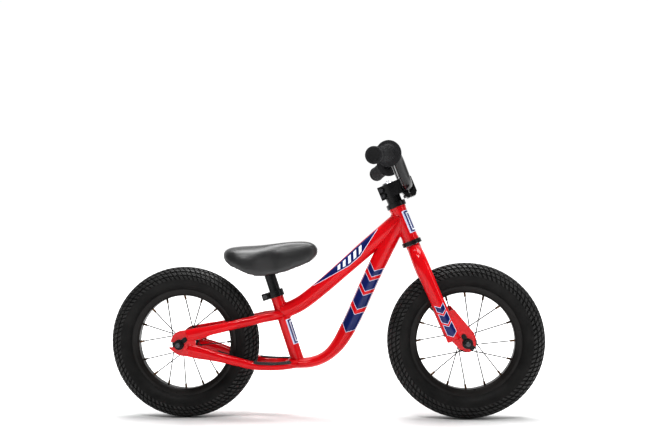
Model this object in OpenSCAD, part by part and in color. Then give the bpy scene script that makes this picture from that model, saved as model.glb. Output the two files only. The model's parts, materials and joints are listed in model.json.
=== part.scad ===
// Balance bike: welded steel frame, unicrown fork, riser bar and spoked 12 inch wheels.
// Origin on the ground midway between the axles; +X forward, +Y to the rider's left, +Z up.

/* [Overall] */
// Distance between the two axles
wheelbase = 558.5; // [520:0.5:680]
// Outer radius of each tyre
tyre_r = 152; // [130:1:170]
// Width over the ends of the two grips
bar_width = 412; // [340:1:500]
// Rise of the handlebar from its clamped middle to its top bends
bar_rise = 65; // [50:1:90]

/* [Steering] */
// Angle of the steering axis from the ground
head_angle = 68.7; // [64:0.1:74]
// Distance along the steering axis from the front axle to the head tube
fork_length = 220.2; // [210:0.1:270]
// Offset of the front axle ahead of the steering axis
fork_rake = 23.2; // [15:0.1:35]
// Length of the head tube
head_tube_h = 71.5; // [58:0.5:95]
// Outer diameter of the head tube
head_tube_d = 31.8; // [31:0.1:40]
// Diameter of the steerer
steerer_d = 25.4; // [20:0.1:27]
// Height of the spacer between the upper race and the stem
spacer_h = 12.4; // [8:0.1:25]
// Height of the stem where it clamps the steerer
stem_h = 26.8; // [24:0.1:40]
// Distance from the steering axis to the middle of the handlebar
stem_reach = 32.7; // [30:0.1:50]

/* [Frame tubes] */
// Angle of the seat tube from the ground
seat_angle = 72.7; // [68:0.1:78]
// Foot of the seat tube ahead of the rear axle
seat_foot_x = 226; // [210:1:280]
// Foot of the seat tube below the rear axle
seat_foot_drop = 29.5; // [20:0.5:45]
// Outer diameter of the seat tube
seat_tube_d = 25.6; // [21:0.1:32]
// Length of the seat tube above its foot
seat_tube_h = 137; // [120:1:170]
// Outer diameter of the seatpost
post_d = 22.2; // [18:0.1:27]
// Depth of the down tube in its straight upper stretch
down_tube_d = 32.8; // [27:0.1:40]
// Depth of the top tube at the head tube
top_tube_d = 32.4; // [27:0.1:39]
// Wall of the frame tubes
tube_wall = 1.6; // [1:0.1:2.5]

/* [Axles and hubs] */
// Diameter of the axles
axle_d = 9.5; // [7.9:0.1:11.4]
// Width between the rear dropout plates
rear_gap = 93; // [88:0.5:112]
// Width between the front dropout plates
front_gap = 89; // [84:0.5:107]
// Thickness of the dropout plates
plate_t = 4.5; // [3:0.1:6]
// Radius of the hub flanges
flange_r = 19.5; // [19:0.1:24]
// Diameter of the spokes
spoke_d = 2; // [1.6:0.1:2.4]

/* [Saddle] */
// Length of the saddle
saddle_l = 192; // [160:1:230]
// Width of the saddle at its widest
saddle_w = 114; // [95:1:137]
// Height of the saddle's underside plate above the seat tube's foot
saddle_h = 181.5; // [178:0.5:215]

/* [Hidden] */
$fn = 64;

red = [0.85, 0.04, 0.08];
black = [0.06, 0.06, 0.07];
rubber = [0.12, 0.12, 0.12];
steel = [0.62, 0.63, 0.65];
brass = [0.55, 0.42, 0.22];

// Clearances: a sliding fit, a free gap between bodies, and a cut's run past a face
slide_fit = 0.05;
free_gap = 0.3;
past = 1;

rear_x = -wheelbase / 2;
front_x = wheelbase / 2;
axle_z = tyre_r;
axle_r = axle_d / 2;
head_tilt = 90 - head_angle;
seat_tilt = 90 - seat_angle;
steerer_r = steerer_d / 2;
post_r = post_d / 2;
seat_tube_r = seat_tube_d / 2;
head_tube_r = head_tube_d / 2;

// Steering frame: its origin is the centre of the head tube's bottom, its +Z runs up the steering
// axis and its +X points forward
function steer_at(n, s) = [
  front_x + (n - fork_rake) * cos(head_tilt) - (s + fork_length) * sin(head_tilt), 0,
  axle_z + (n - fork_rake) * sin(head_tilt) + (s + fork_length) * cos(head_tilt)
];
module steered() { translate(steer_at(0, 0)) rotate([0, -head_tilt, 0]) children(); }

// Seat frame: its origin is the seat tube's foot and its +Z runs up the seat tube
seat_foot = [rear_x + seat_foot_x, 0, axle_z - seat_foot_drop];
function seat_at(n, s) =
  seat_foot + [n * cos(seat_tilt) - s * sin(seat_tilt), 0, n * sin(seat_tilt) + s * cos(seat_tilt)];
module seated() { translate(seat_foot) rotate([0, -seat_tilt, 0]) children(); }

module at_rear_axle() { translate([rear_x, 0, axle_z]) children(); }
module at_front_axle() { translate([front_x, 0, axle_z]) children(); }
module both_sides() {
  children();
  mirror([0, 1, 0]) children();
}

// ---- Curves, skins and rods ----

function unit(v) = v / norm(v);
function xyz(q) = [q[0], q[1], q[2]];

// A smooth curve through points, with the given number of steps from each to the next
function curve_point(p, i, t) =
  let (a = p[max(i - 1, 0)], b = p[i], c = p[i + 1], d = p[min(i + 2, len(p) - 1)])
  0.5 * (2 * b + (c - a) * t + (2 * a - 5 * b + 4 * c - d) * t * t + (3 * b - a - 3 * c + d) * t * t * t);
function smooth(p, steps) = concat(
  [for (i = [0:len(p) - 2]) for (k = [0:steps - 1]) curve_point(p, i, k / steps)],
  [p[len(p) - 1]]
);

// Points given as a share of the way from a to b and an offset above that line, with half sizes
function chord_points(a, b, rows) =
  let (d = b - a, up = unit([-d.z, 0, d.x]))
  [for (r = rows) let (q = a + d * r[0] + up * r[1]) [q.x, q.y, q.z, r[2], r[3]]];

// Ellipse rings along a path of [x, y, z, half width, half depth]; depth lies towards ref
function tangent(p, i) = unit(xyz(p[min(i + 1, len(p) - 1)]) - xyz(p[max(i - 1, 0)]));
function rings(p, ref, sides, inset = 0) = [
  for (i = [0:len(p) - 1])
    let (t = tangent(p, i), side = unit(cross(t, ref)), up = cross(side, t))
    [for (j = [0:sides - 1])
      xyz(p[i]) + side * (p[i][3] - inset) * cos(360 * j / sides)
        + up * (p[i][4] - inset) * sin(360 * j / sides)]
];
function side_faces(rows, n, first) = [
  for (i = [0:rows - 2]) for (j = [0:n - 1])
    let (a = first + i * n + j, b = first + i * n + (j + 1) % n)
    each [[a, b, a + n], [b, b + n, a + n]]
];
function flipped(faces) = [for (f = faces) [f[2], f[1], f[0]]];

module skin(loops) {
  n = len(loops[0]);
  rows = len(loops);
  polyhedron(
    points = [for (l = loops) each l],
    faces = concat(
      [[for (j = [n - 1:-1:0]) j]],
      side_faces(rows, n, 0),
      [[for (j = [0:n - 1]) (rows - 1) * n + j]]
    )
  );
}

module hollow_skin(outer, inner) {
  n = len(outer[0]);
  rows = len(outer);
  total = rows * n;
  last = (rows - 1) * n;
  polyhedron(
    points = concat([for (l = outer) each l], [for (l = inner) each l]),
    faces = concat(
      side_faces(rows, n, 0),
      flipped(side_faces(rows, n, total)),
      [for (j = [0:n - 1]) let (k = (j + 1) % n) each [[j, total + j, k], [k, total + j, total + k]]],
      [for (j = [0:n - 1]) let (k = (j + 1) % n)
        each [[last + k, last + total + j, last + j], [last + total + k, last + total + j, last + k]]]
    )
  );
}

module tube_along(p, ref, sides, wall) {
  hollow_skin(rings(p, ref, sides), rings(p, ref, sides, wall));
}

// A straight round rod from p to q
module rod(p, q, r) {
  d = q - p;
  translate(p) rotate([0, acos(d.z / norm(d)), atan2(d.y, d.x)]) cylinder(h = norm(d), r = r);
}

// A path through points that turns on an arc of the given radius at each one between the ends
function bend_path(p, bend_r, steps) = concat(
  [p[0]],
  [for (i = [1:len(p) - 2])
    let (u1 = unit(p[i] - p[i - 1]), u2 = unit(p[i + 1] - p[i]), turn = acos(u1 * u2),
      centre = p[i] + unit(u2 - u1) * bend_r / cos(turn / 2),
      x = unit(p[i] - u1 * bend_r * tan(turn / 2) - centre))
    each [for (k = [0:steps]) let (a = turn * k / steps) centre + (x * cos(a) + u1 * sin(a)) * bend_r]],
  [p[len(p) - 1]]
);

// A ring of balls about the Z axis
module ball_ring(count, ring_r, ball_r) {
  for (i = [0:count - 1]) rotate([0, 0, 360 * i / count]) translate([ring_r, 0, 0]) sphere(r = ball_r);
}

// ---- Headset sizes, along the steering axis ----

cup_skirt_h = 8;
cup_wall = 1.2;
lower_cup_h = 8.2;
upper_cup_h = 9.3;
cup_r = head_tube_r + 3.4;
cup_cavity_r = cup_r - 2.2;
cup_bore_r = steerer_r + 0.6;
head_bore_r = cup_bore_r + cup_wall;
ball_r = 1.5;
ball_gap = 0.25;
race_r = cup_cavity_r - 0.6;
ball_ring_r = (cup_bore_r + race_r) / 2;
race_h = 1.5;
cup_floor = 3.5;
crown_top = -cup_floor - 2 * ball_r - 2 * ball_gap - race_h;
upper_floor = head_tube_h + upper_cup_h - 4.8;
upper_race_s = upper_floor + 2 * ball_r + 2 * ball_gap;
upper_race_h = 1.8;
spacer_s = upper_race_s + upper_race_h;
stem_s = spacer_s + spacer_h;
stem_top = stem_s + stem_h;
bar_s = stem_top - 19.2;
steerer_bore_r = steerer_r - 1.6;

// ---- Frame ----

mitre_angle = 52;
tube_sides = 16;
top_tube_end = steer_at(0, 49);
top_tube_start = seat_at(0, 94);
down_tube_start = seat_foot + [-13, 0, -14];
down_tube_end = steer_at(0, 53.5);

down_r = down_tube_d / 2;
top_r = top_tube_d / 2;
foot_half_w = 19;
foot_half_h = 10.2;

top_tube_path = smooth(chord_points(top_tube_start, top_tube_end, [
  [0, 0, 15, 15], [0.05, -6, 15, 15], [0.15, -11.5, 15, 15], [0.31, -11.5, 15, 15],
  [0.47, -9, top_r - 0.8, top_r - 0.8], [0.66, -5.5, top_r, top_r], [0.82, -2.8, top_r, top_r],
  [1, 0, top_r, top_r]
]), 3);

down_tube_path = smooth(chord_points(down_tube_start, down_tube_end, [
  [0, 0, foot_half_w, foot_half_h], [0.05, -23, foot_half_w, foot_half_h],
  [0.08, -34, foot_half_w, foot_half_h], [0.12, -44, foot_half_w, foot_half_h + 0.3],
  [0.175, -51.5, 18.5, 11.4], [0.245, -54, 17.5, 13.5], [0.33, -51, down_r + 0.2, down_r - 1.1],
  [0.435, -44, down_r, down_r - 0.2], [0.56, -33.5, down_r, down_r], [0.69, -23, down_r, down_r],
  [0.89, -9, down_r, down_r], [1, 0, down_r, down_r]
]), 3);

module mitre_side(up) {
  translate(steer_at(-11, 45)) rotate([0, -mitre_angle, 0])
    translate([-500, -60, up ? 0 : -300]) cube([700, 120, 300]);
}

module head_solid() { steered() cylinder(h = head_tube_h, r = head_tube_r); }
module seat_solid() { seated() translate([0, 0, -10]) cylinder(h = seat_tube_h + 10, r = seat_tube_r); }

module head_tube() {
  color(red) steered() difference() {
    union() {
      cylinder(h = head_tube_h, r = head_tube_r);
      for (s = [0, head_tube_h - 5]) translate([0, 0, s]) cylinder(h = 5, r = head_tube_r + 0.8);
    }
    translate([0, 0, -past]) cylinder(h = head_tube_h + 2 * past, r = head_bore_r);
  }
}

module top_tube() {
  color(red) difference() {
    tube_along(top_tube_path, [0, 0, 1], tube_sides, tube_wall);
    mitre_side(false);
    head_solid();
    seat_solid();
  }
}

module down_tube() {
  color(red) difference() {
    tube_along(down_tube_path, [0, 0, 1], tube_sides, tube_wall);
    mitre_side(true);
    head_solid();
    seat_solid();
  }
}

module seat_tube() {
  color(red) seated() difference() {
    translate([0, 0, -10]) cylinder(h = seat_tube_h + 10, r = seat_tube_r);
    translate([0, 0, 4]) cylinder(h = seat_tube_h, r = post_r + slide_fit);
    translate([-seat_tube_r - past, -1, seat_tube_h - 28]) cube([seat_tube_r + past, 2, 28 + past]);
  }
}

// Stays: from the dropout plate forward, [x, y, z] from the rear axle and half sizes
stay_y = rear_gap / 2 + plate_t / 2;
seat_join = seat_at(0, 87) - [rear_x, 0, axle_z];
seatstay_path = smooth([for (q = [
  [17, stay_y, 17.5, 6, 12], [45, stay_y - 0.5, 23, 7, 11.3], [62, stay_y - 1, 27.4, 8.4, 9.4],
  [90, stay_y - 2.5, 33.5, 9, 9], [118, 43.5, 40, 9, 9], [seat_join.x - 57, 40, seat_join.z - 8.5, 9, 9],
  [seat_join.x - 37, 33, seat_join.z - 4, 9, 9], [seat_join.x - 18, 22, seat_join.z - 1.5, 9, 9],
  [seat_join.x - 4, 10, seat_join.z, 8.8, 8.8]
]) [q[0] + rear_x, q[1], q[2] + axle_z, q[3], q[4]]], 2);

foot_join = seat_foot - [rear_x, 0, axle_z];
chainstay_path = smooth([for (q = [
  [19, stay_y, -11, 6, 13], [38, stay_y, -15, 6.5, 13], [58, stay_y - 1, -19.5, 7.6, 11.5],
  [82, 46, -26, 8.6, 9.4], [115, 44, -34.6, 8.6, 8.6], [146, 42, -42.5, 8, 8],
  [foot_join.x - 48, 40.5, foot_join.z - 15.2, 7.7, 7.5], [foot_join.x - 27, 37, foot_join.z - 15, 7.7, 7.5],
  [foot_join.x - 12, 28, foot_join.z - 14.4, 8, 7.7], [foot_join.x, 15, foot_join.z - 14, 8.4, 8]
]) [q[0] + rear_x, q[1], q[2] + axle_z, q[3], q[4]]], 2);
stay_sides = 12;
stay_wall = 1.4;

module plate_slot() {
  at_rear_axle() translate([-20, rear_gap / 2, -60]) cube([62, plate_t, 120]);
}

module seatstay() {
  difference() {
    tube_along(seatstay_path, [0, 0, 1], stay_sides, stay_wall);
    plate_slot();
    seat_solid();
  }
}
module seatstay_left() { color(red) seatstay(); }
module seatstay_right() { color(red) mirror([0, 1, 0]) seatstay(); }

module chainstay() {
  difference() {
    tube_along(chainstay_path, [0, 0, 1], stay_sides, stay_wall);
    plate_slot();
    translate(seat_foot - [60, foot_half_w - 0.6, 40]) cube([100, 2 * foot_half_w - 1.2, 60]);
  }
}
module chainstay_left() { color(red) chainstay(); }
module chainstay_right() { color(red) mirror([0, 1, 0]) chainstay(); }

slot_w = axle_d + 0.5;

module rear_dropouts() {
  color(red) both_sides() at_rear_axle() translate([0, rear_gap / 2 + plate_t, 0]) rotate([90, 0, 0])
    linear_extrude(plate_t) difference() {
      union() {
        translate([8, 3]) circle(r = 25);
        polygon([[-14, -12], [-20.5, -7], [-21, -3.5], [0, 0], [8, -22], [-6, -18]]);
        polygon([[8, 28], [38, 32], [40, 14], [20, 8]]);
        polygon([[8, -22], [40, -26], [42, -6], [20, 0]]);
      }
      translate([-60, -slot_w / 2]) square([60, slot_w]);
      circle(d = slot_w);
    }
}

module chainstay_bridge() {
  bridge_y = 27.6;
  color(red) translate(seat_foot + [-21, -bridge_y, -15]) rotate([-90, 0, 0])
    cylinder(h = 2 * bridge_y, r = 4.5);
}

// Grip strips: a crescent over the top of each chainstay
grip_first = 12;
grip_last = 18;
function crescent(p, i, low, high, thick) =
  let (t = tangent(p, i), side = unit(cross(t, [0, 0, 1])), up = cross(side, t), n = 8)
  concat(
    [for (j = [0:n]) let (a = low + (high - low) * j / n)
      xyz(p[i]) + side * (p[i][3] + slide_fit) * cos(a) + up * (p[i][4] + slide_fit) * sin(a)],
    [for (j = [n:-1:0]) let (a = low + (high - low) * j / n)
      xyz(p[i]) + side * (p[i][3] + thick) * cos(a) + up * (p[i][4] + thick) * sin(a)]
  );
module foot_grips() {
  color(rubber) both_sides() skin([for (i = [grip_first - 2:grip_last - 2]) crescent(chainstay_path, i, 50, 152, 1)]);
}

clamp_h = 13.5;
clamp_r = seat_tube_r + 3.2;
clamp_ear_x = 27.8;
clamp_bolt_x = 21.5;
clamp_bolt_r = 2.5;

module seat_clamp() {
  color(black) seated() translate([0, 0, seat_tube_h - clamp_h + 1]) difference() {
    union() {
      cylinder(h = clamp_h, r = clamp_r);
      translate([-clamp_ear_x, -8, 0]) cube([clamp_ear_x, 16, clamp_h]);
    }
    translate([0, 0, -past]) cylinder(h = clamp_h, r = seat_tube_r);
    translate([0, 0, -past]) cylinder(h = clamp_h + 2 * past, r = post_r + 0.4);
    translate([-clamp_ear_x - past, -1, -past]) cube([clamp_ear_x, 2, clamp_h + 2 * past]);
    translate([-clamp_bolt_x, -9, clamp_h / 2]) rotate([-90, 0, 0]) cylinder(h = 18, r = clamp_bolt_r);
  }
}

module socket_bolt(shank_r, shank_l, head_r, head_h) {
  difference() {
    union() {
      translate([0, 0, -shank_l]) cylinder(h = shank_l, r = shank_r);
      cylinder(h = head_h, r = head_r);
    }
    translate([0, 0, head_h * 0.4]) cylinder(h = head_h, r = head_r * 0.5, $fn = 6);
  }
}

module seat_clamp_bolt() {
  color(steel) seated() translate([-clamp_bolt_x, -8, seat_tube_h - clamp_h / 2 + 1]) rotate([90, 0, 0])
    socket_bolt(clamp_bolt_r, 16, 4.3, 4.5);
}

module lower_headset_cup() {
  color(black) steered() difference() {
    union() {
      translate([0, 0, -lower_cup_h]) cylinder(h = lower_cup_h, r = cup_r);
      cylinder(h = cup_skirt_h, r = head_bore_r);
    }
    translate([0, 0, -lower_cup_h - past]) cylinder(h = lower_cup_h - cup_floor + past, r = cup_cavity_r);
    translate([0, 0, -lower_cup_h]) cylinder(h = lower_cup_h + cup_skirt_h + past, r = cup_bore_r);
  }
}

module upper_headset_cup() {
  color(black) steered() difference() {
    union() {
      translate([0, 0, head_tube_h]) cylinder(h = upper_cup_h, r = cup_r);
      translate([0, 0, head_tube_h - cup_skirt_h]) cylinder(h = cup_skirt_h, r = head_bore_r);
    }
    translate([0, 0, upper_floor]) cylinder(h = upper_cup_h, r = cup_cavity_r);
    translate([0, 0, head_tube_h - cup_skirt_h - past])
      cylinder(h = upper_cup_h + cup_skirt_h + 2 * past, r = cup_bore_r);
  }
}

module headset_balls() {
  color(steel) steered() {
    for (s = [-cup_floor - ball_gap - ball_r, upper_floor + ball_gap + ball_r])
      translate([0, 0, s]) ball_ring(18, ball_ring_r, ball_r);
  }
}

// ---- Axles and hubs, along Y ----

washer_t = 2;
nut_h = 8;
stub_l = 4.2;
cone_l = 13;
hub_ball_r = 2.3;
hub_ball_ring_r = axle_r + 4.4;

module along_y() { rotate([-90, 0, 0]) children(); }
function nut_face(gap) = gap / 2 + plate_t + washer_t + nut_h;

module axle(gap) {
  tip = nut_face(gap);
  along_y() {
    translate([0, 0, -tip - 0.3]) cylinder(h = 2 * tip + 0.6, r = axle_r);
    for (m = [0, 1]) mirror([0, 0, m]) translate([0, 0, tip + 0.3]) cylinder(h = stub_l, r = axle_r - 0.25);
  }
}

module cones(gap) {
  both_sides() along_y() difference() {
    union() {
      translate([0, 0, gap / 2 - 4]) cylinder(h = 4, r = axle_r + 3.6, $fn = 6);
      translate([0, 0, gap / 2 - 8]) cylinder(h = 4, r = axle_r + 3.6);
      translate([0, 0, gap / 2 - cone_l]) cylinder(h = 5, r = axle_r + 2.8);
      translate([0, 0, gap / 2 - cone_l - 3]) cylinder(h = 3, r1 = axle_r + 0.8, r2 = axle_r + 2.6);
    }
    translate([0, 0, gap / 2 - 30]) cylinder(h = 40, r = axle_r);
  }
}

module washers(gap, tab_angle) {
  both_sides() translate([0, gap / 2 + plate_t, 0]) along_y() difference() {
    union() {
      cylinder(h = washer_t, r = 10);
      rotate([0, 0, -tab_angle]) translate([0, -4.5, 0]) cube([15.5, 9, washer_t]);
      rotate([0, 0, -tab_angle]) translate([15.5, 0, 0]) cylinder(h = washer_t, r = 4.5);
    }
    translate([0, 0, -past]) cylinder(h = washer_t + 2 * past, r = axle_r);
  }
}

module nuts(gap) {
  both_sides() translate([0, gap / 2 + plate_t + washer_t, 0]) along_y() difference() {
    union() {
      cylinder(h = 1.6, r = 9.2);
      translate([0, 0, 1.6]) cylinder(h = nut_h - 1.6, r = 8.4, $fn = 6);
    }
    translate([0, 0, -past]) cylinder(h = nut_h + 2 * past, r = axle_r);
  }
}

hub_flange_t = 3;
hub_clear = 6;
hub_barrel_r = 11.5;
hub_pocket_r = hub_ball_ring_r + hub_ball_r + 0.3;
hub_end_r = hub_pocket_r + 2;
spoke_hole_r = flange_r - 2.5;
function hub_half(gap) = gap / 2 - hub_clear;
function flange_y(gap) = gap / 2 - 17;

module hub_balls(gap) {
  both_sides() translate([0, gap / 2 - cone_l - 3.2, 0]) along_y()
    ball_ring(10, hub_ball_ring_r, hub_ball_r);
}

// Spoke i of 16: its angle at the rim, its flange side and its hole's angle at the hub
spoke_count = 16;
function spoke_angle(i) = 360 * i / spoke_count;
function spoke_side(i) = i % 2 == 0 ? 1 : -1;
function spoke_lead(i) = i % 4 == 0 || i % 4 == 3 ? -45 : 45;
function hole_angle(i) = spoke_angle(i) + spoke_lead(i);
function polar(r, a, y) = [r * cos(a), y, r * sin(a)];
function spoke_out(i) = spoke_lead(i) > 0 ? 1 : -1;
elbow_in = hub_flange_t / 2 + spoke_d / 2 + 0.15;
spoke_dip = 0.045;
function elbow_step(i, gap) = elbow_in + (spoke_out(i) > 0 ? spoke_dip * flange_y(gap) : 0);
function spoke_foot(i, gap) =
  polar(spoke_hole_r, hole_angle(i), spoke_side(i) * (flange_y(gap) + spoke_out(i) * elbow_step(i, gap)));
function spoke_tip(i, r) = polar(r, spoke_angle(i), 0);

bead_r = 101.5;
rim_inner_r = bead_r - 7.3;
rim_outer_r = bead_r + 5.5;
rim_wall = 2;
spoke_end_r = rim_inner_r + 1.5;
nipple_r = 2;

module hub(gap) {
  difference() {
    along_y() {
      translate([0, 0, -flange_y(gap)]) cylinder(h = 2 * flange_y(gap), r = hub_barrel_r);
      for (m = [0, 1]) mirror([0, 0, m]) {
        translate([0, 0, flange_y(gap) - hub_flange_t / 2]) cylinder(h = hub_flange_t, r = flange_r);
        translate([0, 0, flange_y(gap) - 6]) cylinder(h = 4.5, r1 = hub_barrel_r, r2 = hub_end_r);
        translate([0, 0, flange_y(gap) - 1.6]) cylinder(h = hub_half(gap) - flange_y(gap) + 1.6, r = hub_end_r);
      }
    }
    along_y() {
      translate([0, 0, -gap]) cylinder(h = 2 * gap, r = axle_r + 1.2);
      for (m = [0, 1]) mirror([0, 0, m])
        translate([0, 0, gap / 2 - cone_l - 3.2 - hub_ball_r - 0.2]) cylinder(h = 40, r = hub_pocket_r);
    }
    for (i = [0:spoke_count - 1])
      translate(polar(spoke_hole_r, hole_angle(i), spoke_side(i) * flange_y(gap)))
        rotate([90, 0, 0]) cylinder(h = 8, r = spoke_d / 2 + 0.1, center = true, $fn = 24);
  }
}

module spokes(gap) {
  for (i = [0:spoke_count - 1]) {
    foot = spoke_foot(i, gap);
    back = -spoke_side(i) * spoke_out(i);
    head = elbow_step(i, gap) + elbow_in;
    rod(foot, spoke_tip(i, spoke_end_r), spoke_d / 2, $fn = 24);
    rod(foot - [0, back * 1.2, 0], foot + [0, back * (head - 0.9), 0], spoke_d / 2 + 0.05, $fn = 24);
    rod(foot + [0, back * (head - 1), 0], foot + [0, back * head, 0], spoke_d / 2 + 0.8, $fn = 24);
  }
}

function toward(i, gap, back) =
  let (tip = spoke_tip(i, spoke_end_r)) tip + unit(spoke_foot(i, gap) - tip) * back;

module nipples(gap) {
  for (i = [0:spoke_count - 1]) difference() {
    union() {
      rod(toward(i, gap, -2.2), toward(i, gap, 10), nipple_r, $fn = 24);
      rod(toward(i, gap, -3.8), toward(i, gap, -2), nipple_r + 0.8, $fn = 24);
    }
    rod(toward(i, gap, -past), toward(i, gap, 12), spoke_d / 2, $fn = 24);
  }
}

module rim(gap, valve_angle) {
  difference() {
    along_y() rotate_extrude() polygon([
      [rim_inner_r, -7.8], [rim_inner_r + 3, -10.5], [bead_r + 1, -13], [rim_outer_r, -13.4],
      [rim_outer_r, -11.6], [bead_r, -11], [bead_r - 1, -8.6], [rim_inner_r + rim_wall, -6.4],
      [rim_inner_r + rim_wall, 6.4], [bead_r - 1, 8.6], [bead_r, 11], [rim_outer_r, 11.6],
      [rim_outer_r, 13.4], [bead_r + 1, 13], [rim_inner_r + 3, 10.5], [rim_inner_r, 7.8]
    ]);
    for (i = [0:spoke_count - 1]) rod(toward(i, gap, -4.5), toward(i, gap, 6), nipple_r + 0.1, $fn = 24);
    rod(polar(rim_inner_r - 5, valve_angle, 0), polar(rim_outer_r, valve_angle, 0), valve_r + 0.2);
  }
}

tyre_half_w = 24.5;
tyre_wall = 3.6;
tyre_mid_r = tyre_r - tyre_half_w;

module tyre() {
  along_y() rotate_extrude($fn = 96) union() {
    difference() {
      translate([tyre_mid_r, 0]) circle(r = tyre_half_w);
      translate([tyre_mid_r, 0]) circle(r = tyre_half_w - tyre_wall);
      translate([0, -50]) square([rim_outer_r + 0.1, 100]);
    }
    for (y = [-10.8, 7.6]) translate([bead_r + 0.3, y]) square([rim_outer_r - bead_r + 0.4, 3.2]);
  }
}

// The inner tube, with its valve at the given angle
valve_r = 3;
module inner_tube(valve_angle) {
  tube_r = tyre_half_w - tyre_wall - 0.2;
  rod(polar(rim_inner_r - 24, valve_angle, 0), polar(tyre_mid_r - tube_r + 1, valve_angle, 0), valve_r);
  along_y() rotate_extrude($fn = 96) translate([tyre_mid_r, 0]) difference() {
    circle(r = tube_r);
    circle(r = tube_r - 1);
  }
}

front_valve_angle = 123.75;
rear_valve_angle = -17.5;

module rear_axle() { color(steel) at_rear_axle() axle(rear_gap); }
module rear_cones() { color(steel) at_rear_axle() cones(rear_gap); }
module rear_washers() { color(black) at_rear_axle() washers(rear_gap, 40); }
module rear_nuts() { color(black) at_rear_axle() nuts(rear_gap); }
module rear_hub_balls() { color(steel) at_rear_axle() hub_balls(rear_gap); }
module rear_hub() { color(black) at_rear_axle() hub(rear_gap); }
module rear_spokes() { color(black) at_rear_axle() spokes(rear_gap); }
module rear_nipples() { color(brass) at_rear_axle() nipples(rear_gap); }
module rear_rim() { color(black) at_rear_axle() rim(rear_gap, rear_valve_angle); }
module rear_tyre() { color(rubber) at_rear_axle() tyre(); }
module rear_inner_tube() { color(black) at_rear_axle() inner_tube(rear_valve_angle); }

module front_axle() { color(steel) at_front_axle() axle(front_gap); }
module front_cones() { color(steel) at_front_axle() cones(front_gap); }
module front_washers() { color(black) at_front_axle() washers(front_gap, 117); }
module front_nuts() { color(black) at_front_axle() nuts(front_gap); }
module front_hub_balls() { color(steel) at_front_axle() hub_balls(front_gap); }
module front_hub() { color(black) at_front_axle() hub(front_gap); }
module front_spokes() { color(black) at_front_axle() spokes(front_gap); }
module front_nipples() { color(brass) at_front_axle() nipples(front_gap); }
module front_rim() { color(black) at_front_axle() rim(front_gap, front_valve_angle); }
module front_tyre() { color(rubber) at_front_axle() tyre(); }
module front_inner_tube() { color(black) at_front_axle() inner_tube(front_valve_angle); }

// ---- Fork ----

crown_neck_r = steerer_r + 1.1;
leg_y = front_gap / 2 + plate_t / 2 - 2.5;
leg_end_s = 15 - fork_length;

module steerer_tube() {
  color(red) steered() difference() {
    union() {
      translate([0, 0, crown_top - 20]) cylinder(h = 20, r = crown_neck_r);
      translate([0, 0, crown_top]) cylinder(h = stem_top - 1.5 - crown_top, r = steerer_r);
    }
    translate([0, 0, crown_top - 20 - past]) cylinder(h = stem_top - crown_top + 20 + past, r = steerer_bore_r);
  }
}

// A leg starts at the crown's middle plane, turns over its shoulder and runs down to the dropout
function leg_point(n, y, s, half_y, half_n) = let (q = steer_at(n, s)) [q.x, y, q.z, half_y, half_n];
leg_path = smooth([
  leg_point(0, 6, crown_top - 10.5, 11.5, 13.4),
  leg_point(0, 16, crown_top - 13, 12, 13.6),
  leg_point(0, 28, crown_top - 22, 12, 13.9),
  leg_point(0, leg_y - 7, crown_top - 37, 11.2, 14),
  leg_point(0, leg_y - 3, crown_top - 58, 10.6, 14),
  leg_point(0.5, leg_y - 1.5, -100, 10, 13.4),
  leg_point(1.5, leg_y - 0.5, (leg_end_s - 100) / 2, 9, 13),
  leg_point(3, leg_y + 1, leg_end_s + 22, 7.4, 13.8),
  leg_point(3.6, leg_y + 1.5, leg_end_s, 6, 14.6)
], 3);

module fork_plate_slot() {
  at_front_axle() translate([-60, front_gap / 2, -30]) cube([90, plate_t, 110]);
}

module fork_leg() {
  difference() {
    tube_along(leg_path, [1, 0, 0], stay_sides, stay_wall);
    steered() translate([0, 0, crown_top - 60]) cylinder(h = 60, r = crown_neck_r);
    steered() translate([0, 0, crown_top]) cylinder(h = 10, r = race_r + 1);
    fork_plate_slot();
    translate([-600, -20, 0]) cube([1200, 20, 600]);
  }
}
module fork_leg_left() { color(red) fork_leg(); }
module fork_leg_right() { color(red) mirror([0, 1, 0]) fork_leg(); }

module fork_dropouts() {
  color(red) both_sides() at_front_axle() translate([0, front_gap / 2 + plate_t, 0]) rotate([90, 0, 0])
    linear_extrude(plate_t) difference() {
      union() {
        circle(r = 15.5);
        polygon([[-38, 60], [-24, 65], [12, 20.5], [15.5, 8], [4, -14.8], [-15, -11], [-28, 3], [-37, 20]]);
      }
      rotate([0, 0, -43]) translate([0, -slot_w / 2]) square([60, slot_w]);
      circle(d = slot_w);
    }
}

module crown_race() {
  color(steel) steered() translate([0, 0, crown_top]) difference() {
    cylinder(h = race_h, r = race_r);
    translate([0, 0, -past]) cylinder(h = race_h + 2 * past, r = steerer_r);
  }
}

module upper_race() {
  color(black) steered() translate([0, 0, upper_race_s]) difference() {
    cylinder(h = upper_race_h, r = race_r);
    translate([0, 0, -past]) cylinder(h = upper_race_h + 2 * past, r = steerer_r);
  }
}

module headset_spacer() {
  color(black) steered() translate([0, 0, spacer_s]) difference() {
    cylinder(h = spacer_h, r = steerer_r + 1.6);
    translate([0, 0, -past]) cylinder(h = spacer_h + 2 * past, r = steerer_r);
  }
}

cap_bolt_r = 2.5;

module star_nut() {
  color(steel) steered() translate([0, 0, stem_top - 20]) difference() {
    union() {
      cylinder(h = 5, r = 5);
      for (s = [0, 4]) translate([0, 0, s]) cylinder(h = 1, r = steerer_bore_r);
    }
    translate([0, 0, -past]) cylinder(h = 5 + 2 * past, r = cap_bolt_r);
  }
}

cap_r = 12;
cap_h = 3;

module top_cap() {
  color(steel) steered() translate([0, 0, stem_top]) difference() {
    union() {
      cylinder(h = cap_h, r1 = cap_r, r2 = cap_r - 1.6);
      translate([0, 0, -1.4]) cylinder(h = 1.4, r = steerer_bore_r - 0.2);
    }
    translate([0, 0, -2 - past]) cylinder(h = 2 + cap_h + 2 * past, r = cap_bolt_r);
  }
}

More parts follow.
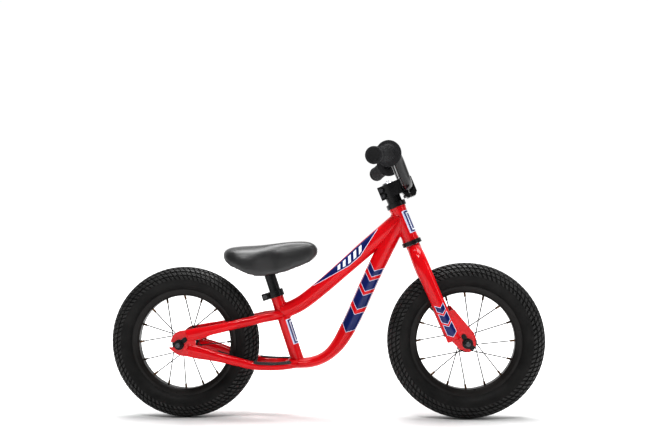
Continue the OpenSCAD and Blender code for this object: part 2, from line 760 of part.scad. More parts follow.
module top_cap_bolt() {
  color(steel) steered() translate([0, 0, stem_top + cap_h]) socket_bolt(cap_bolt_r, cap_h + 20, 4.5, 3);
}

// ---- Stem ----

bar_r = 11.1;
stem_w = 44;
boss_w = 34;
stem_back = 22.3;
ear_half_h = 22;
plate_depth = 14;
split_gap = 2;
face_bolt_y = 14.5;
face_bolt_s = 16.5;
pinch_x = 17.5;
pinch_r = 2.5;

// A 2D outline in the steering frame's XZ plane, widened along Y
module widened(w) { translate([0, w / 2, 0]) rotate([90, 0, 0]) linear_extrude(w) children(); }

// The bar's seat in the stem: snug along its straight run, and eased where its bends start
module bar_seat() {
  translate([stem_reach, stem_w, bar_s]) rotate([90, 0, 0]) cylinder(h = 2 * stem_w, r = bar_r + slide_fit);
  both_sides() translate([stem_reach, bar_flat - 1.5, bar_s]) rotate([-90, 0, 0])
    cylinder(h = stem_w, r = bar_r + bar_relief);
}

module stem_body() {
  color(black) steered() difference() {
    union() {
      translate([0, 0, stem_s]) cylinder(h = stem_h, r = boss_w / 2);
      translate([-stem_back, -12, stem_s]) cube([stem_back, 24, stem_h]);
      widened(boss_w) polygon([
        [0, stem_s], [0, stem_top], [stem_reach - 10, stem_top], [stem_reach - 10, stem_s]
      ]);
      widened(stem_w) polygon([
        [stem_reach - 15, stem_s + 3], [stem_reach - 13, stem_top - 2], [stem_reach - 7, bar_s + ear_half_h],
        [stem_reach - split_gap / 2, bar_s + ear_half_h], [stem_reach - split_gap / 2, bar_s - ear_half_h],
        [stem_reach - 7, bar_s - ear_half_h]
      ]);
    }
    translate([0, 0, stem_s - past]) cylinder(h = stem_h + 2 * past, r = steerer_r);
    bar_seat();
    translate([-stem_back - past, -1.2, stem_s - past]) cube([stem_back, 2.4, stem_h + 2 * past]);
    for (s = [7.5, stem_h - 7.5]) translate([-pinch_x, 20, stem_s + s]) rotate([90, 0, 0])
      cylinder(h = 40, r = pinch_r);
    for (y = [-face_bolt_y, face_bolt_y]) for (s = [-face_bolt_s, face_bolt_s])
      translate([stem_reach - 14, y, bar_s + s]) rotate([0, 90, 0]) cylinder(h = 20, r = pinch_r);
  }
}

module stem_face_plate() {
  color(black) steered() difference() {
    widened(stem_w) polygon([
      [stem_reach + split_gap / 2, bar_s - ear_half_h], [stem_reach + split_gap / 2, bar_s + ear_half_h],
      [stem_reach + plate_depth - 5, bar_s + ear_half_h], [stem_reach + plate_depth, bar_s + 15],
      [stem_reach + plate_depth, bar_s - 15], [stem_reach + plate_depth - 5, bar_s - ear_half_h]
    ]);
    bar_seat();
    for (y = [-face_bolt_y, face_bolt_y]) for (s = [-face_bolt_s, face_bolt_s])
      translate([stem_reach - 2, y, bar_s + s]) rotate([0, 90, 0]) {
        cylinder(h = 30, r = pinch_r);
        translate([0, 0, 8]) cylinder(h = 30, r = 4.4);
      }
  }
}

module stem_face_bolts() {
  color(steel) steered()
    for (y = [-face_bolt_y, face_bolt_y]) for (s = [-face_bolt_s, face_bolt_s])
      translate([stem_reach + 6, y, bar_s + s]) rotate([0, 90, 0]) socket_bolt(pinch_r, 19, 4.2, 5);
}

module stem_clamp_bolts() {
  color(steel) steered()
    for (s = [7.5, stem_h - 7.5]) translate([-pinch_x, -12, stem_s + s]) rotate([90, 0, 0])
      socket_bolt(pinch_r, 22, 4.2, 4.5);
}

// ---- Handlebar, in the steering frame ----

grip_l = 100;
bar_bend_r = 34;
bar_turn = acos(30 / norm([0.7, 30, bar_rise]));
bar_flat = 38 - bar_bend_r * tan(bar_turn / 2);
bar_relief = 1.1;
bar_wall = 1.8;
bar_half = [
  [stem_reach, 0, bar_s], [stem_reach, 38, bar_s], [stem_reach + 0.7, 68, bar_s + bar_rise],
  [stem_reach - 41.4, bar_width / 2 - 2, bar_s + bar_rise - 2.4]
];
grip_dir = unit(bar_half[3] - bar_half[2]);
grip_end = bar_half[3] + grip_dir * 2;
bar_points = concat(
  [for (i = [3:-1:1]) [bar_half[i].x, -bar_half[i].y, bar_half[i].z]],
  [for (i = [1:3]) bar_half[i]]
);

module handlebar() {
  path = [for (q = bend_path(bar_points, bar_bend_r, 5)) [q.x, q.y, q.z, bar_r, bar_r]];
  color(black) steered() tube_along(path, [1, 0, 0], 20, bar_wall);
}

// Places children with +Z along the left grip, from its flange to its end
module on_grip() {
  start = grip_end - grip_dir * grip_l;
  translate(start) rotate([0, acos(grip_dir.z), atan2(grip_dir.y, grip_dir.x)]) children();
}

module grip() {
  on_grip() difference() {
    union() {
      cylinder(h = 4, r = 24.5);
      translate([0, 0, 4]) cylinder(h = 3, r1 = 21, r2 = 15.6);
      translate([0, 0, 7]) cylinder(h = grip_l - 12, r1 = 15.6, r2 = 14.4);
      translate([0, 0, grip_l - 5]) cylinder(h = 5, r = 15.6);
    }
    translate([0, 0, -past]) cylinder(h = grip_l + 2 * past, r = bar_r);
  }
}
module grip_left() { color(rubber) steered() grip(); }
module grip_right() { color(rubber) steered() mirror([0, 1, 0]) grip(); }

module bar_end_plugs() {
  color(black) steered() both_sides() on_grip() {
    translate([0, 0, grip_l - 17]) cylinder(h = 15, r = bar_r - bar_wall - 0.2);
    translate([0, 0, grip_l - 2]) cylinder(h = 2, r = bar_r);
  }
}

// ---- Saddle ----

plate_s = saddle_h;
post_foot_s = 42;
post_top = seat_at(0, plate_s);
flange_h = 4;
base_z = post_top.z + flange_h;
base_t = 4;
saddle_x = post_top.x - 90;
screw_x = 16;
screw_r = 2;

module seatpost() {
  color(black) {
    seated() difference() {
      translate([0, 0, post_foot_s]) cylinder(h = plate_s - post_foot_s + 4, r = post_r);
      translate([0, 0, post_foot_s - past]) cylinder(h = plate_s - post_foot_s - 6, r = post_r - 1.8);
      seated_above(post_top.z);
    }
    difference() {
      translate([post_top.x - 20, -15, post_top.z]) cube([40, 30, flange_h]);
      screw_holes(post_top.z - past, flange_h + 2 * past);
    }
  }
}
// Everything in the seat frame above a level height
module seated_above(z) {
  rotate([0, seat_tilt, 0]) translate([-300, -100, z - seat_foot.z]) cube([400, 200, 200]);
}

// Stations from the tail: share of the length, top, skirt edge (from the base) and half width share
saddle_rows = [
  [0, 26, 20, 0.20], [0.022, 32, 14, 0.5], [0.075, 38.5, 6, 0.78], [0.16, 40.2, -2, 0.95],
  [0.25, 40.3, -10.5, 1], [0.35, 40.6, -17.5, 0.93], [0.45, 41.8, -18.5, 0.74], [0.56, 43.8, -15.5, 0.55],
  [0.67, 46.2, -10, 0.46], [0.77, 47.6, -4, 0.42], [0.87, 47.4, 3.5, 0.38], [0.94, 44, 10.5, 0.32],
  [0.98, 38, 16.5, 0.22], [1, 31, 24, 0.10]
];
saddle_arc = 12;
skirt_t = 9;
lip_drop = 0.4;

// One ring of the saddle: over the top from side to side, then back under the skirts and the base
function saddle_ring(q) =
  let (x = saddle_x + saddle_l * q[0], half = q[3] * saddle_w / 2, top = base_z + q[1], low = base_z + q[2],
    inner = half - min(skirt_t, 0.4 * half), lip = half - min(skirt_t, 0.4 * half) / 3,
    up = max(low + 0.5, base_z + base_t))
  concat(
    [for (j = [0:saddle_arc]) let (a = 180 * j / saddle_arc, c = cos(a), s = sin(a))
      [x, sign(c) * pow(abs(c), 0.7) * half, low + (top - low) * pow(s, 0.62)]],
    [[x, -lip, low - lip_drop], [x, -inner, up], [x, 0, up + 0.6], [x, inner, up], [x, lip, low - lip_drop]]
  );

module base_outline() {
  polygon([
    [saddle_x + 38, 33], [saddle_x + 66, 35], [saddle_x + 96, 23], [saddle_x + 146, 13],
    [saddle_x + 146, -13], [saddle_x + 96, -23], [saddle_x + 66, -35], [saddle_x + 38, -33]
  ]);
}

module screw_holes(z, h) {
  for (dx = [-screw_x, screw_x]) translate([post_top.x + dx, 0, z]) cylinder(h = h, r = screw_r);
}

module saddle_base() {
  color(black) difference() {
    translate([0, 0, base_z]) linear_extrude(base_t) base_outline();
    screw_holes(base_z - past, base_t + 2 * past);
  }
}

module saddle_pad() {
  color(black) skin([for (q = saddle_rows) saddle_ring(q)]);
}

module saddle_screws() {
  color(steel) for (dx = [-screw_x, screw_x]) translate([post_top.x + dx, 0, post_top.z]) mirror([0, 0, 1])
    socket_bolt(screw_r, flange_h + base_t, 3.2, 2.5);
}

head_tube();
top_tube();
down_tube();
seat_tube();
seatstay_left();
seatstay_right();
chainstay_left();
chainstay_right();
rear_dropouts();
chainstay_bridge();
foot_grips();
seat_clamp();
seat_clamp_bolt();
lower_headset_cup();
upper_headset_cup();
headset_balls();
rear_axle();
rear_cones();
rear_washers();
rear_nuts();
rear_hub_balls();
steerer_tube();
fork_leg_left();
fork_leg_right();
fork_dropouts();
crown_race();
upper_race();
headset_spacer();
star_nut();
top_cap();
top_cap_bolt();
stem_body();
stem_face_plate();
stem_face_bolts();
stem_clamp_bolts();
handlebar();
grip_left();
grip_right();
bar_end_plugs();
front_axle();
front_cones();
front_washers();
front_nuts();
front_hub_balls();
seatpost();
saddle_base();
saddle_pad();
saddle_screws();
front_hub();
front_spokes();
front_nipples();
front_rim();
front_tyre();
front_inner_tube();
rear_hub();
rear_spokes();
rear_nipples();
rear_rim();
rear_tyre();
rear_inner_tube();
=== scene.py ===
import json
import math
import random

import bmesh
import bpy
import numpy as np
from mathutils import Matrix, Vector


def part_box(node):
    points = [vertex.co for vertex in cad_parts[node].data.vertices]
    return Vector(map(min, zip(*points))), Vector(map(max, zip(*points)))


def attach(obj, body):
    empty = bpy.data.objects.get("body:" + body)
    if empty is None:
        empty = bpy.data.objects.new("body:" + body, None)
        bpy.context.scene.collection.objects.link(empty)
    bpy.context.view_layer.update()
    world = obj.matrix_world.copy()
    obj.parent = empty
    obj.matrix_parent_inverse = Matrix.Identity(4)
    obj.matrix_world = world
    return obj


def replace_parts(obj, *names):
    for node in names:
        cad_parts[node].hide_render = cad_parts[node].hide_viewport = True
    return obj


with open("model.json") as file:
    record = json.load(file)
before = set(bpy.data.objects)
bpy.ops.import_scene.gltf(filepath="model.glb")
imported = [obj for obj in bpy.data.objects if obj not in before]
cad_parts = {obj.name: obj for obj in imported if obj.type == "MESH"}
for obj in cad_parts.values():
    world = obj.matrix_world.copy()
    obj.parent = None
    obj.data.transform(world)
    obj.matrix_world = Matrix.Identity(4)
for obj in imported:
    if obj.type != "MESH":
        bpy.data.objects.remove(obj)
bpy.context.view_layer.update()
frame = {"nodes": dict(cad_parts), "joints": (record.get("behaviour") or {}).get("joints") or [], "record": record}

MM = 0.001
RED = (0.66, 0.002, 0.008)
DEEP_RED = (0.55, 0.0015, 0.006)
NAVY = (0.006, 0.016, 0.13)
PALE = (0.62, 0.70, 0.86)


# ---- Driving sizes, in millimetres, from the frame's own joints ----

joints = {j["name"]: j for j in frame["joints"]}
head = Vector(joints["steering"]["pos_m"]) / MM
steer_up = Vector(joints["steering"]["axis"])
steer_ahead = Vector((steer_up.z, 0, -steer_up.x))
front_axle = Vector(joints["front_wheel_spin"]["pos_m"]) / MM
rear_axle = Vector(joints["rear_wheel_spin"]["pos_m"]) / MM
seat_up = Vector(joints["seatpost_height"]["axis"])
seat_ahead = Vector((seat_up.z, 0, -seat_up.x))
seat_foot = rear_axle + Vector((226, 0, -29.5))
TYRE_R = rear_axle.z
HEAD_R = 15.9
SEAT_TUBE_R = 12.8
BAR_R = 11.1


def steer_at(n, s, y=0.0):
    """A point in the steering frame: n ahead of the axis, s up it from the head tube's bottom."""
    p = head + steer_ahead * n + steer_up * s
    return Vector((p.x, y, p.z))


def seat_at(n, s):
    """A point in the seat tube's frame: n ahead of its axis, s up it from its foot."""
    return seat_foot + seat_ahead * n + seat_up * s


# ---- Curves ----

def smooth(points, steps):
    """A Catmull-Rom curve through rows of numbers, with this many steps from each to the next."""
    p = np.array(points, float)
    out = []
    last = len(p) - 1
    for i in range(last):
        a, b, c, d = p[max(i - 1, 0)], p[i], p[i + 1], p[min(i + 2, last)]
        for k in range(steps):
            t = k / steps
            out.append(0.5 * (2 * b + (c - a) * t + (2 * a - 5 * b + 4 * c - d) * t ** 2
                              + (3 * b - a - 3 * c + d) * t ** 3))
    out.append(p[last])
    return np.array(out)


def chord_points(a, b, rows):
    """Rows of share, offset above the chord and half sizes, as points with half sizes."""
    d = b - a
    up = Vector((-d.z, 0, d.x)).normalized()
    return [[*(a + d * f + up * off), w, h] for f, off, w, h in rows]


def mirrored(path):
    return path * np.array([1, -1, 1, 1, 1])


def unit_rows(v):
    return v / np.linalg.norm(v, axis=1, keepdims=True)


def ring_frames(path, ref):
    """Tangent, side and up at each point of a path, with up towards ref."""
    t = unit_rows(np.gradient(path[:, :3], axis=0))
    side = unit_rows(np.cross(t, np.array(ref, float)))
    return t, side, np.cross(side, t)


# ---- Mesh makers. All take millimetres and write metres ----

def new_object(name, verts, faces, body, mat, uvs=None, angle=40):
    """A smooth-shaded mesh that rides on a body."""
    mesh = bpy.data.meshes.new(name)
    mesh.from_pydata([tuple(float(c) * MM for c in v) for v in verts], [], faces)
    if uvs is not None:
        layer = mesh.uv_layers.new(name="along")
        flat = [c for face in uvs for uv in face for c in uv]
        layer.data.foreach_set("uv", flat)
    for polygon in mesh.polygons:
        polygon.use_smooth = True
    mesh.set_sharp_from_angle(angle=math.radians(angle))
    mesh.materials.append(mat)
    obj = bpy.data.objects.new(name, mesh)
    bpy.context.scene.collection.objects.link(obj)
    bm = bmesh.new()
    bm.from_mesh(mesh)
    bmesh.ops.recalc_face_normals(bm, faces=bm.faces)
    bm.to_mesh(mesh)
    bm.free()
    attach(obj, body)
    return obj


def grid_faces(rows, cols, wrap_rows=False):
    """Quads over rows of closed rings, and the UV corner indices of each."""
    faces = []
    corners = []
    for i in range(rows if wrap_rows else rows - 1):
        i2 = (i + 1) % rows
        for j in range(cols):
            j2 = (j + 1) % cols
            faces.append([i * cols + j, i * cols + j2, i2 * cols + j2, i2 * cols + j])
            corners.append([(i, j), (i, j + 1), (i + 1, j + 1), (i + 1, j)])
    return faces, corners


def sweep(name, path, ref, body, mat, sides=40, round_end=0.0):
    """A closed bar along a path. U is the length along it in metres, V the share of the way round."""
    t, side, up = ring_frames(path, ref)
    angle = np.linspace(0, 2 * math.pi, sides, endpoint=False)
    verts = []
    for i, row in enumerate(path):
        for a in angle:
            verts.append(row[:3] + side[i] * row[3] * math.cos(a) + up[i] * row[4] * math.sin(a))
    n = len(path)
    length = np.concatenate([[0], np.cumsum(np.linalg.norm(np.diff(path[:, :3], axis=0), axis=1))]) * MM
    faces, corners = grid_faces(n, sides)
    uvs = [[(length[i], j / sides) for i, j in face] for face in corners]
    for row, lean in ((0, -1), (n - 1, 1)):
        base = len(verts)
        mid = path[row][:3] + t[row] * lean * round_end
        ring = [row * sides + j for j in range(sides)]
        shoulder = []
        for j, a in enumerate(angle):
            r = path[row]
            p = (r[:3] + side[row] * r[3] * 0.8 * math.cos(a) + up[row] * r[4] * 0.8 * math.sin(a)
                 + t[row] * lean * round_end * 0.62)
            verts.append(p)
            shoulder.append(base + j)
        verts.append(mid)
        for j in range(sides):
            k = (j + 1) % sides
            faces.append([ring[j], ring[k], shoulder[k], shoulder[j]])
            faces.append([shoulder[j], shoulder[k], base + sides])
            u = length[row]
            uvs.append([(u, j / sides), (u, (j + 1) / sides), (u, (j + 1) / sides), (u, j / sides)])
            uvs.append([(u, j / sides), (u, (j + 1) / sides), (u, (j + 0.5) / sides)])
    return new_object(name, verts, faces, body, mat, uvs)


def lathe(name, profile, place, body, mat, segments=160, angle=40):
    """A closed profile of (radius, height) turned round place's Z axis. U goes round, V along it."""
    prof = np.array(profile, float)
    verts = []
    for i in range(segments):
        a = 2 * math.pi * i / segments
        for r, z in prof:
            verts.append(place @ Vector((r * math.cos(a), r * math.sin(a), z)))
    n = len(prof)
    step = np.linalg.norm(np.roll(prof, -1, axis=0) - prof, axis=1)
    run = np.concatenate([[0], np.cumsum(step)]) * MM
    mean_r = prof[:, 0].mean() * MM
    faces, corners = grid_faces(segments, n, wrap_rows=True)
    uvs = [[(2 * math.pi * i / segments * mean_r, run[j]) for i, j in face] for face in corners]
    return new_object(name, verts, faces, body, mat, uvs, angle)


def axis_place(centre, z_axis, x_axis=(1, 0, 0)):
    """A matrix at centre, in millimetres, with its Z along z_axis."""
    z = Vector(z_axis).normalized()
    x = Vector(x_axis) - z * Vector(x_axis).dot(z)
    x.normalize()
    y = z.cross(x)
    rot = Matrix((x, y, z)).transposed().to_4x4()
    return Matrix.Translation(Vector(centre)) @ rot


# ---- Materials ----

class Shader:
    """A short way to write a procedural material."""

    def __init__(self, name, base, rough, metallic=0.0, coat=0.0, coat_rough=0.03, sheen=0.0, specular=0.5):
        self.mat = bpy.data.materials.new(name)
        self.mat.use_nodes = True
        self.tree = self.mat.node_tree
        self.bsdf = self.tree.nodes["Principled BSDF"]
        self.set("Base Color", (*base, 1))
        self.set("Roughness", rough)
        self.set("Metallic", metallic)
        self.set("Coat Weight", coat)
        self.set("Coat Roughness", coat_rough)
        self.set("Sheen Weight", sheen)
        self.set("Specular IOR Level", specular)
        self.place = self.node("ShaderNodeTexCoord").outputs["Object"]

    def set(self, socket, value):
        self.bsdf.inputs[socket].default_value = value

    def node(self, kind, **values):
        n = self.tree.nodes.new(kind)
        for key, value in values.items():
            setattr(n, key, value)
        return n

    def link(self, out, into):
        self.tree.links.new(out, into)

    def feed(self, socket, value):
        """Puts a number, a colour or another node's output on a socket."""
        if isinstance(value, bpy.types.NodeSocket):
            self.link(value, socket)
        else:
            socket.default_value = value

    def math(self, op, a, b=0.0, clamp=False):
        n = self.node("ShaderNodeMath", operation=op, use_clamp=clamp)
        self.feed(n.inputs[0], a)
        self.feed(n.inputs[1], b)
        return n.outputs[0]

    def span(self, x, low, high, to_low, to_high):
        n = self.node("ShaderNodeMapRange", clamp=True)
        self.feed(n.inputs["Value"], x)
        for key, value in (("From Min", low), ("From Max", high), ("To Min", to_low), ("To Max", to_high)):
            self.feed(n.inputs[key], value)
        return n.outputs["Result"]

    def band(self, x, low, high, soft=0.0003):
        """1 where x lies between low and high, with soft edges."""
        rise = self.span(x, low, low + soft, 0, 1)
        fall = self.span(x, high - soft, high, 1, 0)
        return self.math("MULTIPLY", rise, fall)

    def noise(self, scale, detail=3.0, rough=0.55, stretch=None):
        n = self.node("ShaderNodeTexNoise")
        n.inputs["Scale"].default_value = scale
        n.inputs["Detail"].default_value = detail
        n.inputs["Roughness"].default_value = rough
        if stretch:
            m = self.node("ShaderNodeMapping")
            m.inputs["Scale"].default_value = stretch
            self.link(self.place, m.inputs["Vector"])
            self.link(m.outputs[0], n.inputs["Vector"])
        else:
            self.link(self.place, n.inputs["Vector"])
        return n.outputs["Fac"]

    def cells(self, scale, feature="DISTANCE_TO_EDGE", vector=None):
        n = self.node("ShaderNodeTexVoronoi", feature=feature)
        n.inputs["Scale"].default_value = scale
        self.link(vector or self.place, n.inputs["Vector"])
        return n.outputs["Distance"]

    def mix(self, fac, a, b):
        n = self.node("ShaderNodeMix", data_type="RGBA")
        self.feed(n.inputs[0], fac)
        self.feed(n.inputs[6], a if isinstance(a, bpy.types.NodeSocket) else (*a, 1))
        self.feed(n.inputs[7], b if isinstance(b, bpy.types.NodeSocket) else (*b, 1))
        return n.outputs[2]

    def uv(self):
        n = self.node("ShaderNodeUVMap", uv_map="along")
        split = self.node("ShaderNodeSeparateXYZ")
        self.link(n.outputs[0], split.inputs[0])
        return split.outputs[0], split.outputs[1]

    def edge(self, radius=0.0006):
        """A rounded edge's normal, and how far it differs from the flat one."""
        bevel = self.node("ShaderNodeBevel", samples=4)
        bevel.inputs["Radius"].default_value = radius
        geometry = self.node("ShaderNodeNewGeometry")
        dot = self.node("ShaderNodeVectorMath", operation="DOT_PRODUCT")
        self.link(bevel.outputs[0], dot.inputs[0])
        self.link(geometry.outputs["Normal"], dot.inputs[1])
        return bevel.outputs[0], self.span(dot.outputs["Value"], 1.0, 0.8, 0, 1)

    def bump(self, height, distance, strength=1.0, normal=None):
        n = self.node("ShaderNodeBump")
        n.inputs["Strength"].default_value = strength
        n.inputs["Distance"].default_value = distance
        self.link(height, n.inputs["Height"])
        if normal:
            self.link(normal, n.inputs["Normal"])
        return n.outputs[0]

    def color(self, value):
        self.link(value, self.bsdf.inputs["Base Color"])

    def rough(self, value):
        self.link(value, self.bsdf.inputs["Roughness"])

    def normal(self, value):
        self.link(value, self.bsdf.inputs["Normal"])


def paint_base(name, bevel=True):
    """Glossy red powder coat: slight orange peel, colour drift, and dulled edges."""
    s = Shader(name, RED, 0.36, coat=0.6, coat_rough=0.03, specular=0.03)
    tone = s.mix(s.span(s.noise(14, 2), 0.35, 0.65, 0, 1), RED, DEEP_RED)
    peel = s.noise(420, 2, 0.4)
    rough = s.span(s.noise(60, 4), 0.3, 0.7, 0.26, 0.40)
    if bevel:
        normal, wear = s.edge()
        chips = s.math("MULTIPLY", wear, s.span(s.noise(500, 3), 0.52, 0.62, 0, 0.5))
        tone = s.mix(chips, tone, (0.30, 0.01, 0.012))
        s.normal(s.bump(peel, 0.00005, 0.5, normal))
    else:
        s.normal(s.bump(peel, 0.00005, 0.5))
    s.rough(rough)
    return s, tone


def red_paint():
    s, tone = paint_base("red_paint")
    s.color(tone)
    return s.mat


def chevrons(s, u, h, starts, thick, half, slope):
    """Masks of nested arrow shapes along u, and of their pale outlines."""
    shifted = s.math("SUBTRACT", u, s.math("MULTIPLY", s.math("ABSOLUTE", h), slope))
    inside = s.band(h, -half, half)
    outside = s.band(h, -half - 0.0009, half + 0.0009)
    fill = None
    rim = None
    for start, width in zip(starts, thick):
        a = s.math("MULTIPLY", s.band(shifted, start, start + width), inside)
        b = s.math("MULTIPLY", s.band(shifted, start - 0.0012, start + width + 0.0012), outside)
        fill = a if fill is None else s.math("MAXIMUM", fill, a)
        rim = b if rim is None else s.math("MAXIMUM", rim, b)
    return fill, rim


def decal_paint(name, radius, draw):
    """Red paint with stickers that draw(s, u, h) places: u along the tube, h up from its side line."""
    s, tone = paint_base(name, bevel=False)
    u, v = s.uv()
    h = s.math("MULTIPLY", s.math("SINE", s.math("MULTIPLY", v, 2 * math.pi)), radius * MM)
    navy = s.mix(s.span(s.noise(30, 2), 0.4, 0.6, 0, 1), NAVY, (0.004, 0.012, 0.10))
    for mask, colour in draw(s, u, h):
        tone = s.mix(mask, tone, colour or navy)
    s.color(tone)
    return s.mat


def down_tube_art(s, u, h):
    fill, rim = chevrons(s, u, h, (0.140, 0.190, 0.229, 0.260), (0.038, 0.029, 0.021, 0.012), 0.0145, 0.85)
    return [(rim, PALE), (fill, None)]


def top_tube_art(s, u, h):
    """A navy flash that tapers to both ends, with slanted pale bars in its middle."""
    low = s.math("MAXIMUM", s.span(u, 0.085, 0.165, 0.0145, -0.003), s.span(u, 0.195, 0.255, -0.003, 0.0145))
    above = s.math("SUBTRACT", h, low)
    run = s.band(u, 0.085, 0.255)
    inside = s.math("MULTIPLY", s.span(above, 0, 0.0004, 0, 1), run)
    inside = s.math("MULTIPLY", inside, s.span(h, 0.0144, 0.0148, 1, 0))
    line = s.math("MULTIPLY", s.band(above, -0.0012, 0.0002), run)
    lean = s.math("SUBTRACT", u, s.math("MULTIPLY", h, 0.8))
    bars = None
    for start in (0.138, 0.152, 0.166, 0.180, 0.194):
        bar = s.band(lean, start, start + 0.0075)
        bars = bar if bars is None else s.math("MAXIMUM", bars, bar)
    fit = s.math("MULTIPLY", s.span(above, 0.0024, 0.0028, 0, 1), s.span(h, 0.0112, 0.0116, 1, 0))
    return [(inside, None), (line, PALE), (s.math("MULTIPLY", bars, fit), (0.80, 0.84, 0.92))]


def leg_art(s, u, h):
    """Small arrows on the outer face of a fork leg."""
    split = s.node("ShaderNodeSeparateXYZ")
    s.link(s.place, split.inputs[0])
    outer = s.span(s.math("ABSOLUTE", split.outputs["Y"]), 0.0455, 0.046, 0, 1)
    back = s.math("MULTIPLY", u, -1.0)
    fill, rim = chevrons(s, back, h, (-0.196, -0.170, -0.148), (0.020, 0.016, 0.011), 0.0085, 0.8)
    return [(s.math("MULTIPLY", rim, outer), PALE), (s.math("MULTIPLY", fill, outer), None)]


def placed_band(s, origin, axis, low, high):
    """A mask between two distances along an axis from a point, in millimetres."""
    sub = s.node("ShaderNodeVectorMath", operation="SUBTRACT")
    s.link(s.place, sub.inputs[0])
    sub.inputs[1].default_value = Vector(origin) * MM
    dot = s.node("ShaderNodeVectorMath", operation="DOT_PRODUCT")
    s.link(sub.outputs[0], dot.inputs[0])
    dot.inputs[1].default_value = Vector(axis)
    return s.band(dot.outputs["Value"], low * MM, high * MM)


def badge_paint(name, origin, along, ahead, low, high, half):
    """Red paint with a plain framed label on the front of a tube."""
    s, tone = paint_base(name)
    front = placed_band(s, origin, ahead, 3, 60)
    for grow, colour in ((0.0, PALE), (1.6, NAVY), (4.5, (0.78, 0.82, 0.9)), (7.0, NAVY)):
        mask = s.math("MULTIPLY", placed_band(s, origin, along, low + grow, high - grow),
                      placed_band(s, origin, (0, 1, 0), -half + grow * 0.8, half - grow * 0.8))
        tone = s.mix(s.math("MULTIPLY", mask, front), tone, colour)
    s.color(tone)
    return s.mat


def satin_black(name, base=(0.004, 0.004, 0.0044), rough=(0.22, 0.34), coat=0.0, worn=(0.05, 0.05, 0.053)):
    """Black paint or anodising with fine grain and worn edges."""
    s = Shader(name, base, rough[0], coat=coat, coat_rough=0.08, specular=0.22)
    normal, wear = s.edge(0.0005)
    tone = s.mix(s.span(s.noise(25, 3), 0.35, 0.65, 0, 1), base, tuple(c * 1.7 for c in base))
    tone = s.mix(s.math("MULTIPLY", wear, s.span(s.noise(350, 3), 0.45, 0.6, 0.1, 0.8)), tone, worn)
    s.color(tone)
    s.rough(s.span(s.noise(90, 4), 0.3, 0.7, *rough))
    s.normal(s.bump(s.noise(900, 3), 0.00004, 0.6, normal))
    return s.mat


def bare_metal(name, light, dark, rough, grain=(60, 900, 60)):
    """Steel or brass with a drawn grain and grime."""
    s = Shader(name, light, rough[0], metallic=1.0)
    normal, wear = s.edge(0.0004)
    tone = s.mix(s.span(s.noise(120, 4), 0.35, 0.7, 0, 1), light, dark)
    tone = s.mix(s.math("MULTIPLY", wear, 0.5), tone, tuple(min(1.0, c * 1.5) for c in light))
    s.color(tone)
    s.rough(s.span(s.noise(8, 4, 0.6, grain), 0.3, 0.7, *rough))
    s.normal(s.bump(s.noise(10, 3, 0.6, grain), 0.00003, 0.5, normal))
    return s.mat


def tyre_rubber(name, shine, dust):
    """Black rubber: patchy dust, with fine moulded rings on the sidewall."""
    s = Shader(name, (0.010, 0.010, 0.0102), 0.6, specular=shine)
    tone = s.mix(s.span(s.noise(35, 5), 0.4, 0.7, 0, 1), (0.008, 0.0079, 0.0078), dust)
    s.color(tone)
    _, v = s.uv()
    rings = s.math("SINE", s.math("MULTIPLY", v, 2 * math.pi / 0.0012))
    grain = s.math("ADD", s.math("MULTIPLY", s.noise(1400, 3), 0.7), s.math("MULTIPLY", rings, 0.12))
    s.rough(s.span(s.noise(220, 4), 0.3, 0.7, 0.46, 0.66))
    s.normal(s.bump(grain, 0.00012, 0.7))
    return s.mat


def grip_rubber():
    """Dark grey soft rubber with a fine diamond knurl between its rings."""
    s = Shader("grip_rubber", (0.018, 0.018, 0.019), 0.6, specular=0.1)
    u, v = s.uv()
    a = s.math("SINE", s.math("MULTIPLY", s.math("ADD", u, v), 2 * math.pi / 0.0026))
    b = s.math("SINE", s.math("MULTIPLY", s.math("SUBTRACT", u, v), 2 * math.pi / 0.0026))
    knurl = s.math("MULTIPLY", a, b)
    s.color(s.mix(s.span(s.noise(40, 4), 0.35, 0.65, 0, 1), (0.015, 0.015, 0.016), (0.026, 0.026, 0.028)))
    s.rough(s.span(s.noise(300, 3), 0.3, 0.7, 0.48, 0.68))
    s.normal(s.bump(s.math("ADD", s.math("MULTIPLY", knurl, 0.5), s.noise(1200, 2)), 0.00022, 0.8))
    return s.mat


def saddle_vinyl():
    """Smooth black vinyl: a fine leather grain, soft sheen and lighter patches at random."""
    s = Shader("saddle_vinyl", (0.007, 0.007, 0.0075), 0.36, specular=0.75)
    s.color(s.mix(s.span(s.noise(18, 4), 0.35, 0.7, 0, 1), (0.006, 0.006, 0.0065), (0.012, 0.012, 0.0125)))
    pebble = s.cells(620)
    fine = s.noise(1500, 3)
    coarse = s.math("MULTIPLY", s.span(pebble, 0, 0.12, 0, 1), 0.6)
    grain = s.math("ADD", coarse, s.math("MULTIPLY", fine, 0.4))
    s.rough(s.span(s.noise(45, 5), 0.3, 0.7, 0.31, 0.44))
    s.normal(s.bump(grain, 0.00012, 0.55))
    return s.mat


def grip_tape():
    """Coarse black grit on the foot rests."""
    s = Shader("grip_tape", (0.03, 0.03, 0.032), 0.85, specular=0.3)
    grit = s.cells(900, "F1")
    s.color(s.mix(s.span(grit, 0.1, 0.5, 1, 0), (0.022, 0.022, 0.023), (0.13, 0.13, 0.135)))
    s.rough(s.span(s.noise(500, 2), 0.3, 0.7, 0.7, 0.95))
    s.normal(s.bump(grit, 0.0004, 0.9))
    return s.mat


def moulded_plastic():
    s = Shader("black_plastic", (0.006, 0.006, 0.0065), 0.5, specular=0.2)
    normal, _ = s.edge(0.0006)
    s.color(s.mix(s.span(s.noise(30, 3), 0.3, 0.7, 0, 1), (0.005, 0.005, 0.0055), (0.010, 0.010, 0.0105)))
    s.rough(s.span(s.noise(200, 3), 0.3, 0.7, 0.42, 0.6))
    s.normal(s.bump(s.cells(1300), 0.00006, 0.6, normal))
    return s.mat


